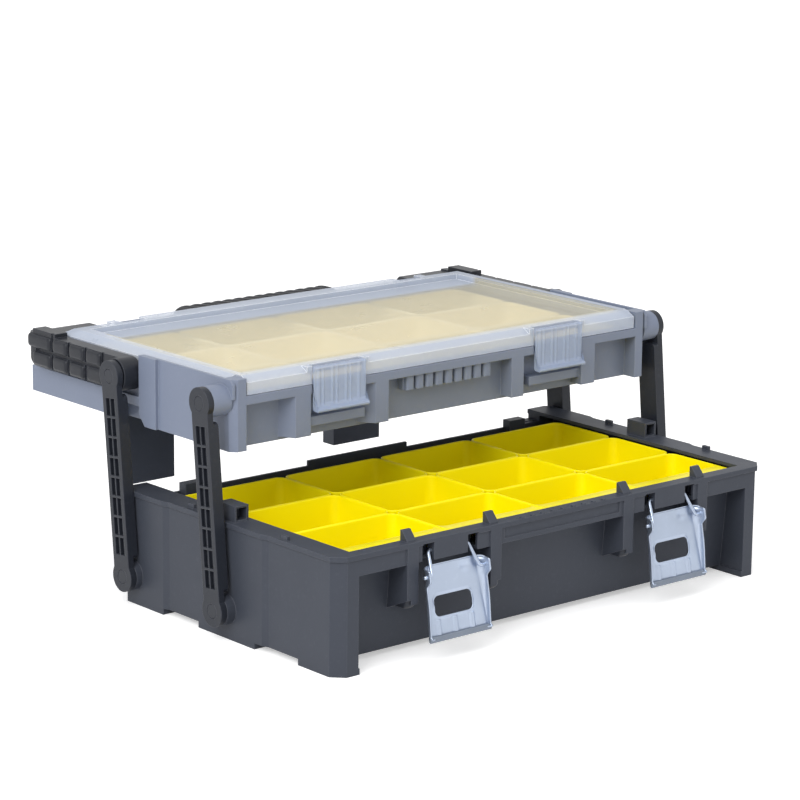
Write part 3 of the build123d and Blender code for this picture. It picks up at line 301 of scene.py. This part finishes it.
def frosted_clear(
    name, border, panel, border_alpha, panel_alpha, half, front, back, frame_width=15.0, rear_width=42.0,
):
    """Frosted clear plastic: milky in the raised border and skirt, clearer inside the sunken panel.

    The panel's mask is the product of two steps, one on |x| and one on |y - middle|, each falling from
    1 to 0 at the border's inner edge, over 2 mm across and 8 mm along. The border is deeper at the
    hinges, where the tray's wall stands close below it. Tint and Alpha follow that mask.
    """
    material = bpy.data.materials.new(name)
    material.use_nodes = True
    tree = material.node_tree
    n, link = tree.nodes, tree.links.new
    shader = n["Principled BSDF"]
    shader.inputs["IOR"].default_value = 1.4
    place = n.new("ShaderNodeTexCoord")
    centred = n.new("ShaderNodeMapping")
    centred.inputs["Location"].default_value = (0, -(front + frame_width + back - rear_width) / 2 * MM, 0)
    link(place.outputs["Object"], centred.inputs["Vector"])
    spread = n.new("ShaderNodeSeparateXYZ")
    link(centred.outputs["Vector"], spread.inputs[0])
    steps = []
    depth = back - rear_width - front - frame_width
    for axis, reach, soft in (("X", half - frame_width, 1.0), ("Y", depth / 2, 4.0)):
        size = n.new("ShaderNodeMath")
        size.operation = "ABSOLUTE"
        link(spread.outputs[axis], size.inputs[0])
        step = n.new("ShaderNodeMapRange")
        step.interpolation_type = "SMOOTHSTEP"
        step.inputs["From Min"].default_value = (reach + soft) * MM
        step.inputs["From Max"].default_value = (reach - soft) * MM
        link(size.outputs[0], step.inputs["Value"])
        steps.append(step)
    mask = n.new("ShaderNodeMath")
    mask.operation = "MULTIPLY"
    for slot, step in enumerate(steps):
        link(step.outputs["Result"], mask.inputs[slot])
    colour = n.new("ShaderNodeGroup")
    colour.node_tree = tint_group
    colour.inputs["Tint"].default_value = (*border, 1)
    colour.inputs["Dust"].default_value = (0.95, 0.97, 1.0, 1)
    colour.inputs["Spread"].default_value = 0.10
    colour.inputs["Dust Amount"].default_value = 0.10
    edge = n.new("ShaderNodeGroup")
    edge.node_tree = edge_group
    # Painted highlight: rounded edges are mixed towards a pale blue-white by the edge mask.
    pale = n.new("ShaderNodeMix")
    pale.data_type = "RGBA"
    pale.inputs[7].default_value = (0.93, 0.96, 1.0, 1)
    link(edge.outputs["Edge"], pale.inputs["Factor"])
    link(colour.outputs["Colour"], pale.inputs[6])
    film = n.new("ShaderNodeMix")
    film.data_type = "RGBA"
    film.inputs[7].default_value = (*panel, 1)
    link(mask.outputs[0], film.inputs["Factor"])
    link(pale.outputs[2], film.inputs[6])
    link(film.outputs[2], shader.inputs["Base Color"])
    clearness = n.new("ShaderNodeMapRange")
    clearness.inputs["To Min"].default_value = border_alpha
    clearness.inputs["To Max"].default_value = panel_alpha
    link(mask.outputs[0], clearness.inputs["Value"])
    # Painted highlight, continued: rounded edges are made more opaque, so their pale colour shows.
    edge_lift = n.new("ShaderNodeMath")
    edge_lift.operation = "MULTIPLY_ADD"
    edge_lift.use_clamp = True
    edge_lift.inputs[1].default_value = 0.35
    link(edge.outputs["Edge"], edge_lift.inputs[0])
    link(clearness.outputs["Result"], edge_lift.inputs[2])
    link(edge_lift.outputs[0], shader.inputs["Alpha"])
    relief = n.new("ShaderNodeGroup")
    relief.node_tree = grain_group
    relief.inputs["Scale"].default_value = 900.0
    relief.inputs["Base"].default_value = 0.30
    relief.inputs["Spread"].default_value = 0.15
    link(relief.outputs["Roughness"], shader.inputs["Roughness"])
    bumped = n.new("ShaderNodeBump")
    bumped.inputs["Strength"].default_value = 0.06
    bumped.inputs["Distance"].default_value = 0.0006
    link(relief.outputs["Height"], bumped.inputs["Height"])
    link(edge.outputs["Normal"], bumped.inputs["Normal"])
    link(bumped.outputs["Normal"], shader.inputs["Normal"])
    return material


lid_low, lid_high = (np.array(corner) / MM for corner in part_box("lid"))
finishes["lid_clear"] = frosted_clear(
    "frosted lid", (0.56, 0.62, 0.74), (0.82, 0.78, 0.62), 0.58, 0.30, lid_high[0], lid_low[1], lid_high[1]
)

for part in frame["record"]["subparts"]:
    body = nodes[part["node"]]
    body.data.materials.clear()
    finish = "arm_dark" if part["node"].startswith("arm_") else part["material_slot"]
    body.data.materials.append(finishes[finish])
bodies = frame["record"]["behaviour"]["bodies"]
part_body = {node: body for body, members in bodies.items() for node in members}


# Surfaces worked out on grids, in millimetres


def surface(
    name, node, slot, points, round_rows=False, start=None, end=None, thickness=0.0, keep_node=False,
    finish=None,
):
    """Quads over a grid of points, rows by columns, whose columns close on themselves.

    Rows close on themselves too where round_rows is set; start and end are the poles that close the
    first and last row. The signed volume, the sum of a . (b x c) / 6 over the triangles, says whether
    the faces point inwards, and then they are turned. A thickness makes a sheet of it, half to each
    side. keep_node leaves the node's own solid in place, and finish overrides the slot's finish.
    """
    rows, columns = points.shape[:2]
    index = np.arange(rows * columns).reshape(rows, columns)
    if round_rows:
        index = np.vstack([index, index[:1]])
    index = np.hstack([index, index[:, :1]])
    quads = np.stack([index[:-1, :-1], index[:-1, 1:], index[1:, 1:], index[1:, :-1]], axis=-1)
    faces = quads.reshape(-1, 4).tolist()
    places = points.reshape(-1, 3)
    for pole, ring in ((start, index[0][::-1]), (end, index[-1])):
        if pole is not None:
            fan = np.stack([ring[:-1], ring[1:], np.full(columns, len(places))], axis=-1)
            places = np.vstack([places, np.reshape(pole, (1, 3))])
            faces += fan.tolist()
    mesh = bpy.data.meshes.new(name)
    mesh.from_pydata((places * MM).tolist(), [], faces)
    mesh.calc_loop_triangles()
    corners = np.empty(len(mesh.loop_triangles) * 3, dtype=np.int64)
    mesh.loop_triangles.foreach_get("vertices", corners)
    a, b, c = (places - places.mean(axis=0))[corners.reshape(-1, 3)].transpose(1, 0, 2)
    if np.einsum("ij,ij->i", a, np.cross(b, c)).sum() < 0:
        mesh.flip_normals()
    mesh.polygons.foreach_set("use_smooth", np.ones(len(mesh.polygons), dtype=bool))
    mesh.materials.append(finishes[finish or slot])
    piece = bpy.data.objects.new(name, mesh)
    bpy.context.collection.objects.link(piece)
    if thickness:
        wall = piece.modifiers.new("sheet thickness", "SOLIDIFY")
        wall.thickness = thickness * MM
        wall.offset = 0.0
    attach(piece, part_body[node])
    if not keep_node:
        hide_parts(node)
    return piece


def rounded_outline(
    half_x, half_y, radius, front_radius=None, forward=0.0, arc_steps=8, side_steps=(0.05, 0.5, 0.95),
):
    """Rounded rectangles, one a row: a corner is centre + radius * (cos t, sin t), t over its quarter turn.

    The corner centres are the half sizes less the radius. The two front corners have their own
    radius, and forward moves the front side out. Points at fixed fractions stand on the straight sides.
    """
    if front_radius is None:
        front_radius = radius
    rows = np.broadcast_arrays(half_x, half_y, radius, front_radius, forward)
    hx, hy, back, front, ahead = (np.atleast_1d(r).astype(float)[:, None, None] for r in rows)
    quarter = np.radians(np.linspace(0, 90, arc_steps))
    turn = quarter[None, None, :] + np.radians([0, 90, 180, 270])[None, :, None]
    side_x = np.array([1, -1, -1, 1])[None, :, None]
    side_y = np.array([1, 1, -1, -1])[None, :, None]
    r = np.where(side_y > 0, back, front)
    x = side_x * (hx - r) + r * np.cos(turn)
    y = side_y * (hy + np.where(side_y < 0, ahead, 0) - r) + r * np.sin(turn)
    arcs = np.stack([x, y], axis=-1)
    share = np.array(side_steps)[None, None, :, None]
    straights = arcs[:, :, -1:] * (1 - share) + np.roll(arcs, -1, axis=1)[:, :, :1] * share
    ring = np.concatenate([arcs, straights], axis=2)
    return ring.reshape(ring.shape[0], -1, 2)


def cup_shell(node, slot, lip):
    """A cup as one closed shell: a profile that goes up outside and down inside, carried round the plan.

    Down from the brim both walls lean in by tan 3 degrees. The inside turns into the floor on a
    7 mm quarter circle, its corners widen from 6.5 to 10 mm, and the front lip runs out at the brim.
    """
    low, high = (np.array(c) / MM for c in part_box(node))
    height = high[2] - low[2]
    half_x, half_y = (high[0] - low[0]) / 2, (high[1] - low[1] - lip) / 2
    middle = np.array([(low[0] + high[0]) / 2, (low[1] + lip + high[1]) / 2, low[2]])
    lean, wall, floor, turn = np.tan(np.radians(3.0)), 1.4, 1.6, 7.0
    sweep = np.radians(np.linspace(0, 90, 7))
    foot = wall + lean * (height - floor - turn)
    rows = [
        (lean * height + 2.2, 0.0, 4.0, 4.0, 0.0),
        (lean * height + 0.6, 0.6, 5.4, 5.4, 0.0),
        (lean * height, 2.2, 6.0, 6.0, 0.0),
        (lean * 4.0, height - 4.0, 7.4, 7.4, 0.0),
        (lean * 2.4, height - 2.4, 7.6, 7.6, 0.0),
        (0.05, height - 2.2, 7.8, 1.4 if lip else 7.8, lip),
        (0.05, height - 0.7, 7.8, 1.4 if lip else 7.8, lip),
        (0.20, height - 0.15, 7.6, 1.4 if lip else 7.6, lip),
        (0.50, height, 7.2, 1.2 if lip else 7.2, lip),
        (0.95, height, 7.0, 7.0, 0.0),
        (1.30, height - 0.25, 6.8, 6.8, 0.0),
        (1.42, height - 0.9, 6.6, 6.6, 0.0),
        (1.50, height - 2.2, 6.5, 6.5, 0.0),
        (wall + lean * 12, height - 12.0, 7.0, 7.0, 0.0),
        (foot, floor + turn + 0.4, 9.9, 9.9, 0.0),
    ]
    inset, z, back, front, ahead = (np.array(column) for column in zip(*rows))
    inset = np.concatenate([inset, foot + turn * (1 - np.cos(sweep))])
    z = np.concatenate([z, floor + turn * (1 - np.sin(sweep))])
    round_in = 10.0 - turn * (1 - np.cos(sweep))
    back, front = np.concatenate([back, round_in]), np.concatenate([front, round_in])
    ahead = np.concatenate([ahead, np.zeros(len(sweep))])
    plan = rounded_outline(half_x - inset, half_y - inset, back, front, ahead)
    heights = np.broadcast_to(z[:, None, None], plan.shape[:2] + (1,))
    points = np.concatenate([plan, heights], axis=-1) + middle
    surface(f"{node}_shell", node, slot, points, start=middle, end=middle + [0, 0, floor])


def grip_sleeve(node="handle_grip"):
    """A sleeve round the crossbar: a rounded outline carried along X and drawn in between helical ribs.

    The inset at x and girth position s is depth * (1 - |cos(pi * (x / pitch - turns * s))| ** 0.7),
    plus a rounding over the last 6 mm at each end. Its inside is a plain tube.
    """
    pitch, turns, depth, end_run, end_round, tube = 11.4, 5.0, 2.4, 6.0, 4.5, 5.6
    low, high = (np.array(c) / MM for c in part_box(node))
    middle = (low + high) / 2
    half_y, half_z = (high[1] - low[1]) / 2, (high[2] - low[2]) / 2
    half_x = (high[0] - low[0]) / 2
    x = np.linspace(-half_x, half_x, 240)
    ring = rounded_outline(half_y, half_z, 8.0, arc_steps=12, side_steps=np.linspace(0.08, 0.92, 8))[0]
    step = np.linalg.norm(np.roll(ring, -1, axis=0) - ring, axis=1)
    girth = np.concatenate([[0.0], np.cumsum(step)[:-1]]) / step.sum()
    phase = x[:, None] / pitch - turns * girth[None, :]
    bump = np.abs(np.cos(np.pi * phase)) ** 0.7
    close = np.clip((half_x - np.abs(x)) / end_run, 0, 1)[:, None]
    inset = depth * (1 - bump) * close + end_round * (1 - np.sqrt(1 - (1 - close) ** 2))
    outward = ring / np.linalg.norm(ring, axis=1, keepdims=True)
    outer = ring[None] - inset[..., None] * outward[None]
    inner = (ring - tube * outward)[None].repeat(2, axis=0)
    section = np.concatenate([inner[:1], outer, inner[1:]])
    along = np.concatenate([x[:1], x, x[-1:]])[:, None, None]
    points = np.concatenate([np.broadcast_to(along, section.shape[:2] + (1,)), section], axis=-1)
    surface("grip_ribbed", node, "grip_black", points + middle, round_rows=True)


def turned_corners(route, radius, steps=8):
    """A route whose corners are arcs, each centred radius / sin(half angle) along its corner's bisector."""
    route = np.array(route, dtype=float)
    back = route[:-2] - route[1:-1]
    ahead = route[2:] - route[1:-1]
    back /= np.linalg.norm(back, axis=1, keepdims=True)
    ahead /= np.linalg.norm(ahead, axis=1, keepdims=True)
    half = np.arccos(np.clip((back * ahead).sum(axis=1), -1, 1)) / 2
    bisector = (back + ahead) / np.linalg.norm(back + ahead, axis=1, keepdims=True)
    centre = route[1:-1] + bisector * (radius / np.sin(half))[:, None]
    across = ahead - bisector * (ahead * bisector).sum(axis=1, keepdims=True)
    across /= np.linalg.norm(across, axis=1, keepdims=True)
    sweep = (np.pi / 2 - half)[:, None] * np.linspace(-1, 1, steps)[None, :]
    arcs = centre[:, None] + radius * (
        np.sin(sweep)[..., None] * across[:, None] - np.cos(sweep)[..., None] * bisector[:, None]
    )
    return np.concatenate([route[:1], arcs.reshape(-1, 3), route[-1:]])


def bent_wire(side, forward=10.2, drop=17.5, top=20.0, foot=24.0, ear=32.2, gauge=1.4, bend=3.0):
    """A round wire: circles of the gauge's radius carried square to a route that lies in one slanted plane.

    Its legs stand at top from the middle at the bar, spread to foot, and end in the plate's ears.
    """
    name = SIDES[side]
    centre = LATCH_X * side
    low = PLATE_HINGE
    high = (low[0] + forward, low[1] + drop)
    route = turned_corners(
        [
            (centre - ear, *low), (centre - foot, *low), (centre - top, *high),
            (centre + top, *high), (centre + foot, *low), (centre + ear, *low),
        ],
        bend,
    )
    slant = np.array([0.0, -forward, -drop]) / np.hypot(forward, drop)
    plane_normal = np.cross([1.0, 0.0, 0.0], slant)
    tangent = np.gradient(route, axis=0)
    tangent /= np.linalg.norm(tangent, axis=1, keepdims=True)
    inwards = np.cross(tangent, plane_normal)
    around = np.radians(np.linspace(0, 360, 20, endpoint=False))
    rings = gauge * (
        np.cos(around)[None, :, None] * plane_normal + np.sin(around)[None, :, None] * inwards[:, None]
    )
    points = route[:, None] + rings
    surface(f"latch_wire_bent_{name}", f"latch_wire_{name}", "zinc", points, start=route[0], end=route[-1])


def smooth_step(value, low, high):
    """0 below low, 1 above high, and t * t * (3 - 2 * t) between them."""
    t = np.clip((value - low) / (high - low), 0, 1)
    return t * t * (3 - 2 * t)


def pressed_plate(side):
    """A latch plate pressed from sheet: rings run from the slot's outline to the folds, then up the flanges.

    A flat ring is slot + w * (fold - slot). The folds close in by a sixth from foot to top, so the
    side flanges lean out to the plate's full width and grow from 3 mm at the foot to the ears at the
    top, which have a waist below them. Three upright bars, a shallow dimple and the slot's rim are
    smooth steps and bells added to the level. A rolled lip, a rounded bar, closes the foot.
    """
    name = SIDES[side]
    slant = np.radians(PLATE_SLANT)
    origin = np.array([LATCH_X * side, *PLATE_HINGE])
    up = np.array([0.0, np.sin(slant), np.cos(slant)])
    out = np.array([0.0, -np.cos(slant), np.sin(slant)])
    foot, top, half = -51.5, 8.5, 31.0
    slot_half, slot_middle, slot_corner = (19.0, 8.0), (-3.0, -24.0), 4.5
    sheet, rim_height, bar_height, bar_middle, bar_half, bar_reach = -5.25, 0.9, 1.5, -40.5, 3.0, 7.6
    dimple_depth, dimple_middle, dimple_size = 0.9, (13.0, 1.5), (5.0, 3.4)
    narrowing = 0.17
    fractions = np.linspace(0.02, 0.98, 64)
    slot = rounded_outline(*slot_half, slot_corner, arc_steps=9, side_steps=fractions)[0] + slot_middle
    fold_low, fold_high = foot + 4.2, top - 1.6
    fold = rounded_outline(
        half - 1.6, (fold_high - fold_low) / 2, 1.8, arc_steps=9, side_steps=fractions
    )[0] + [0.0, (fold_high + fold_low) / 2]
    fold[:, 0] *= 1 - narrowing * smooth_step(fold[:, 1], foot, top)
    share = np.concatenate([[0.0, 0.03, 0.06, 0.1], np.linspace(0.13, 1.0, 58)])[:, None, None]
    rings = slot[None] * (1 - share) + fold[None] * share
    x, v = rings[..., 0], rings[..., 1]
    from_slot = np.linalg.norm(rings - slot[None], axis=2)
    rim = rim_height * np.exp(-((from_slot / 1.3) ** 2))
    bars = np.zeros_like(x)
    for centre in (-20.0, -3.0, 14.0):
        across = smooth_step(bar_half - np.abs(x - centre), 0.0, 2.2)
        along = smooth_step(bar_reach - np.abs(v - bar_middle), 0.0, 2.6)
        bars += bar_height * across * along
    dimple_x = (x - dimple_middle[0]) / dimple_size[0]
    dimple_v = (v - dimple_middle[1]) / dimple_size[1]
    level = sheet + rim + bars - dimple_depth * np.exp(-(dimple_x**2) - dimple_v**2)
    edge_v = fold[:, 1]
    top_half = half * (1 - narrowing)
    side_share = smooth_step(np.abs(fold[:, 0]), top_half - 4.0, top_half - 1.2)
    foot_share = smooth_step(-edge_v, -fold_low - 1.4, -fold_low - 0.3)
    ear = smooth_step(edge_v, -9.0, -3.0)
    side_height = 3.0 + 2.4 * smooth_step(edge_v, foot, -20.0) + 5.2 * ear
    crown = smooth_step(edge_v, top - 4.2, top - 1.8)
    top_share = (1 - side_share) * (1 - foot_share)
    height = side_share * side_height * (1 - 0.55 * crown) + 1.6 * foot_share + 0.6 * top_share
    reach_x = np.sign(fold[:, 0]) * (half - 0.8 - np.abs(fold[:, 0])) * side_share
    reach_v = -1.0 * foot_share + 0.9 * top_share
    rise = np.linspace(0.0, 1.0, 14)[1:, None]
    lean = np.sin(rise * np.pi / 2) ** 0.9
    skirt = fold[None] + np.stack([reach_x, reach_v], axis=-1)[None] * lean[..., None]
    lifted = level[-1][None] + height[None] * (1 - np.cos(rise * np.pi / 2)) ** 0.8
    grid = np.concatenate([rings, skirt])
    w = np.concatenate([level, lifted])
    points = origin + grid[..., :1] * [1.0, 0.0, 0.0] + grid[..., 1:] * up + w[..., None] * out
    surface(f"latch_plate_pressed_{name}", f"latch_plate_{name}", "zinc", points, thickness=1.1)
    across = np.concatenate([[-half], np.linspace(0.4 - half, half - 0.4, 24), [half]])
    roll = rounded_outline(2.5, 1.5, 1.3, arc_steps=6)[0]
    size = np.concatenate([[0.7], np.ones(24), [0.7]])[:, None, None]
    centre = np.array([foot + 3.2, -3.6])
    section = centre + roll[None] * size
    lip = origin + across[:, None, None] * [1.0, 0.0, 0.0] + section[..., :1] * up + section[..., 1:] * out
    middle = origin + centre[0] * up + centre[1] * out
    # The rolled lip takes the darker zinc, painted shade for its downward face.
    surface(
        f"latch_plate_lip_{name}", f"latch_plate_{name}", "zinc", lip, keep_node=True, finish="zinc_fold_painted_shade",
        start=middle - [half, 0.0, 0.0], end=middle + [half, 0.0, 0.0],
    )


def handle_pads():
    """Cushion-shaped pads on the outside of both side arms, in two rows.

    Each pad is a stack of rounded rectangles that draw in by 2.8 mm as they rise: the rise at share t
    is 1 - (1 - t) ** 2 of the pad's height. The lower pad beside the pivot is flatter, because the
    rear arm passes it when the tray comes down.
    """
    pivot_y, pivot_z = HANDLE_PIVOT
    face, root, full, flat, draw_in = 234.0, 0.4, 2.2, 0.8, 2.8
    edges = [22.0, 46.0, 70.0, 94.0, 131.0]
    share = np.linspace(0, 1, 7)
    for side in (-1, 1):
        for row, (low, high) in enumerate(((1.4, 13.0), (-13.0, -1.4))):
            for column, (near, far) in enumerate(zip(edges[:-1], edges[1:])):
                last = column == len(edges) - 2
                y_low, y_high = near + 3.2, far - (0.2 if not last else 1.0)
                if last and row == 1:
                    y_high -= 7.0
                half_y, half_z = (y_high - y_low) / 2, (high - low) / 2
                inset = draw_in * share**1.5
                plan = rounded_outline(half_y - inset, half_z - inset, np.full(7, 2.6), arc_steps=6)
                proud = flat if (row, column) == (1, 0) else full
                rise = (proud + root) * (1 - (1 - share) ** 2) - root
                across = np.broadcast_to((side * (face + rise))[:, None, None], plan.shape[:2] + (1,))
                middle = np.array([0.0, pivot_y + (y_low + y_high) / 2, pivot_z + (low + high) / 2])
                points = np.concatenate([across, plan], axis=-1) + middle
                surface(
                    f"handle_pad_{SIDES[side]}_{row + 1}_{column + 1}", "handle", "black", points,
                    start=middle + [side * (face - root), 0, 0], end=middle + [side * (face + proud), 0, 0],
                    keep_node=True,
                )


def snap_latch(side):
    """A clear snap latch: a rounded side profile carried across X, raised in front by upright ribs.

    A rib at x0 of width w adds its height * exp(-((x - x0) / w) ** 4).
    """
    name = SIDES[side]
    low, high = (np.array(c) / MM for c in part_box(f"lid_latch_{name}"))
    top, front = high[2], low[1]
    foot = low[2]
    face = front + 5.4
    back = high[1]
    outline = [
        (0, back - 0.6, top - 0.3), (0, face + 1.0, top), (0, face, top - 1.4), (0, face, foot + 6.2),
        (0, face - 1.2, foot + 3.6), (0, front + 0.2, foot + 2.6), (0, front, foot + 1.3),
        (0, front + 0.8, foot), (0, face + 1.4, foot + 0.6), (0, face + 2.2, foot + 2.6),
        (0, face + 2.2, top - 7.4), (0, back - 3.2, top - 6.2), (0, back - 0.6, top - 5.4),
        (0, back, top - 3.0),
    ]
    profile = turned_corners([*outline, outline[0]], 0.7, steps=4)[:-1, 1:]
    half = (high[0] - low[0]) / 2
    x = np.concatenate([[-half, -half], np.linspace(-half + 0.5, half - 0.5, 104), [half, half]])
    centre = (low[0] + high[0]) / 2
    ribs = np.zeros_like(x)
    rib_height = 0.7
    rib_places = (-22.0, -17.5, -8.0, -3.5, 6.0, 10.5, 19.0)
    rib_widths = (1.5, 1.0, 1.2, 0.8, 1.2, 0.8, 1.5)
    for place, width in zip(rib_places, rib_widths):
        ribs += rib_height * np.exp(-(((x - place) / width) ** 4))
    y, z = profile[:, 0], profile[:, 1]
    on_face = (np.abs(y - face) < 0.4) & (z > foot + 5.0) & (z < top - 1.2)
    inner = np.ones((len(x), 1), dtype=bool)
    inner[[0, -1]] = False
    py = np.where(inner, y[None] - ribs[:, None] * on_face[None], y[None] * 0.9 + (face + 1.1) * 0.1)
    pz = np.where(inner, z[None], z[None] * 0.98 + (top + foot) / 2 * 0.02)
    points = np.stack([np.broadcast_to((x + centre)[:, None], py.shape), py, pz], axis=-1)
    pole = np.array([centre, face + 1.1, foot + 14.0])
    surface(
        f"snap_latch_{name}", f"lid_latch_{name}", "lid_clear", points, finish="latch_clear",
        start=pole - [half, 0, 0], end=pole + [half, 0, 0],
    )


def front_housings():
    """A housing round the lower half of each front tower, and a near-black sheet behind each wire's notches,
    painted shade for the notches' insides.

    Both are columns of rounded rectangles. The last 6 mm of a housing close on an arc, t up to 80
    degrees: the inset is 6 * (1 - cos t), less than half of that across, and the drop is 6 * sin t.
    """
    foot, half_x, half_y, close = 41.0, 5.3, 12.0, 6.0
    sweep = np.radians(np.linspace(0, 80, 8))
    housing_z = np.concatenate([[74.0, 70.0, 60.0], foot + close * (1 - np.sin(sweep))])
    inset = np.concatenate([np.zeros(3), close * (1 - np.cos(sweep))])
    notch_shade_z = np.array([77.5, 77.7, 89.0, 89.2])
    housing = rounded_outline(half_x - 0.45 * inset, half_y - inset, 3.4, arc_steps=8)
    # Painted shade: thin near-black sheets that darken what shows through each notch.
    notch_shade_sheet = rounded_outline(np.full(4, 5.9), 0.7, 0.3, arc_steps=3)
    for side in (-1, 1):
        for kind, plan, z, behind, places in (
            ("front_housing", housing, housing_z, 13.2, (("outer", 156.0), ("inner", 71.5))),
            ("notch_painted_shade", notch_shade_sheet, notch_shade_z, 10.4, (("outer", 140.5), ("inner", 95.5))),
        ):
            heights = np.broadcast_to(z[:, None, None], plan.shape[:2] + (1,))
            column = np.concatenate([plan, heights], axis=-1)
            for place, centre in places:
                middle = np.array([side * centre, TUB_FRONT + behind, 0.0])
                surface(
                    f"{kind}_{SIDES[side]}_{place}", "tub", "charcoal", column + middle, keep_node=True,
                    finish="pin_dark", start=middle + [0, 0, z[0]], end=middle + [0, 0, z[-1]],
                )


for level, slot in (("lower", "cup_yellow"), ("upper", "cup_cream")):
    for row in (1, 2, 3):
        front_lip = FRONT_ROW_LIP if (level, row) == ("lower", 1) else 0.0
        for column in (1, 2, 3, 4):
            cup_shell(f"{level}_cup_{row}_{column}", slot, front_lip)
grip_sleeve()
handle_pads()
front_housings()
for side in (-1, 1):
    bent_wire(side)
    pressed_plate(side)
    snap_latch(side)


# Floor, light and camera


def seen_white(tree, shader_socket, strengths):
    """The second strength on camera rays, in reflections and through clear plastic, else the first."""
    n, link = tree.nodes, tree.links.new
    path = n.new("ShaderNodeLightPath")
    seen = n.new("ShaderNodeMath")
    seen.operation = "MAXIMUM"
    link(path.outputs["Is Camera Ray"], seen.inputs[0])
    link(path.outputs["Is Glossy Ray"], seen.inputs[1])
    any_seen = n.new("ShaderNodeMath")
    any_seen.operation = "MAXIMUM"
    link(seen.outputs[0], any_seen.inputs[0])
    link(path.outputs["Is Transmission Ray"], any_seen.inputs[1])
    spread = n.new("ShaderNodeMapRange")
    spread.inputs["To Min"].default_value = strengths[0]
    spread.inputs["To Max"].default_value = strengths[1]
    link(any_seen.outputs[0], spread.inputs["Value"])
    link(spread.outputs["Result"], shader_socket)


def studio():
    """A pale floor that fades into the background, a soft key from the upper left, and a plain sky."""
    floor_mesh = bpy.data.meshes.new("floor")
    reach = 9.0
    corners = [(-reach, -reach, 0), (reach, -reach, 0), (reach, reach, 0), (-reach, reach, 0)]
    floor_mesh.from_pydata(corners, [], [(0, 1, 2, 3)])
    floor = bpy.data.objects.new("floor", floor_mesh)
    bpy.context.collection.objects.link(floor)
    paper = bpy.data.materials.new("paper floor")
    paper.use_nodes = True
    paper_shader = paper.node_tree.nodes["Principled BSDF"]
    paper_shader.inputs["Base Color"].default_value = (0.86, 0.86, 0.86, 1)
    paper_shader.inputs["Roughness"].default_value = 0.9
    paper_shader.inputs["Specular IOR Level"].default_value = 0.2
    paper_shader.inputs["Emission Color"].default_value = (1, 1, 1, 1)
    seen_white(paper.node_tree, paper_shader.inputs["Emission Strength"], (0.0, 0.45))
    floor_mesh.materials.append(paper)
    world = bpy.data.worlds.new("studio")
    bpy.context.scene.world = world
    world.use_nodes = True
    sky = world.node_tree.nodes["Background"]
    sky.inputs["Color"].default_value = (1.0, 1.0, 1.0, 1)
    seen_white(world.node_tree, sky.inputs["Strength"], (0.70, 1.0))
    middle_of_box = Vector((0, 0.05, 0.1))
    for name, place, size, power in (
        ("key", (-2.0, -0.8, 1.5), 1.4, 36.0),
        ("fill", (1.6, -1.6, 1.3), 1.8, 4.0),
        ("top", (-0.3, -0.6, 2.3), 1.6, 12.0),
    ):
        lamp = bpy.data.lights.new(name, "AREA")
        lamp.shape = "SQUARE"
        lamp.size = size
        lamp.energy = power
        lamp_object = bpy.data.objects.new(name, lamp)
        bpy.context.collection.objects.link(lamp_object)
        aim = Vector(place) - middle_of_box
        turn = aim.to_track_quat("Z", "Y").to_matrix().to_4x4()
        lamp_object.matrix_world = Matrix.Translation(place) @ turn


def camera():
    """The photograph's viewpoint, from its azimuth, elevation and roll in degrees and its place in metres."""
    photo_width, focal_length, film_width = 800.0, 3010.0, 36.0
    azimuth, elevation, roll = np.radians([-40.43, 13.16, 0.60])
    place = (-1.58017, -1.78912, 0.71477)
    right = np.array([np.cos(azimuth), np.sin(azimuth), 0.0])
    level_back = np.array([np.sin(azimuth), -np.cos(azimuth), 0.0])
    back = level_back * np.cos(elevation) + [0.0, 0.0, np.sin(elevation)]
    up = np.cross(back, right)
    turned_right = np.cos(roll) * right + np.sin(roll) * up
    turned_up = np.cos(roll) * up - np.sin(roll) * right
    eye = bpy.data.cameras.new("camera")
    eye.sensor_width = film_width
    eye.lens = focal_length / photo_width * film_width
    eye.clip_end = 50.0
    eye_object = bpy.data.objects.new("camera", eye)
    bpy.context.collection.objects.link(eye_object)
    pose = np.eye(4)
    pose[:3, 0] = turned_right
    pose[:3, 1] = turned_up
    pose[:3, 2] = back
    pose[:3, 3] = place
    eye_object.matrix_world = Matrix(pose.tolist())
    bpy.context.scene.camera = eye_object


studio()
camera()
bpy.context.scene.view_settings.view_transform = "Standard"
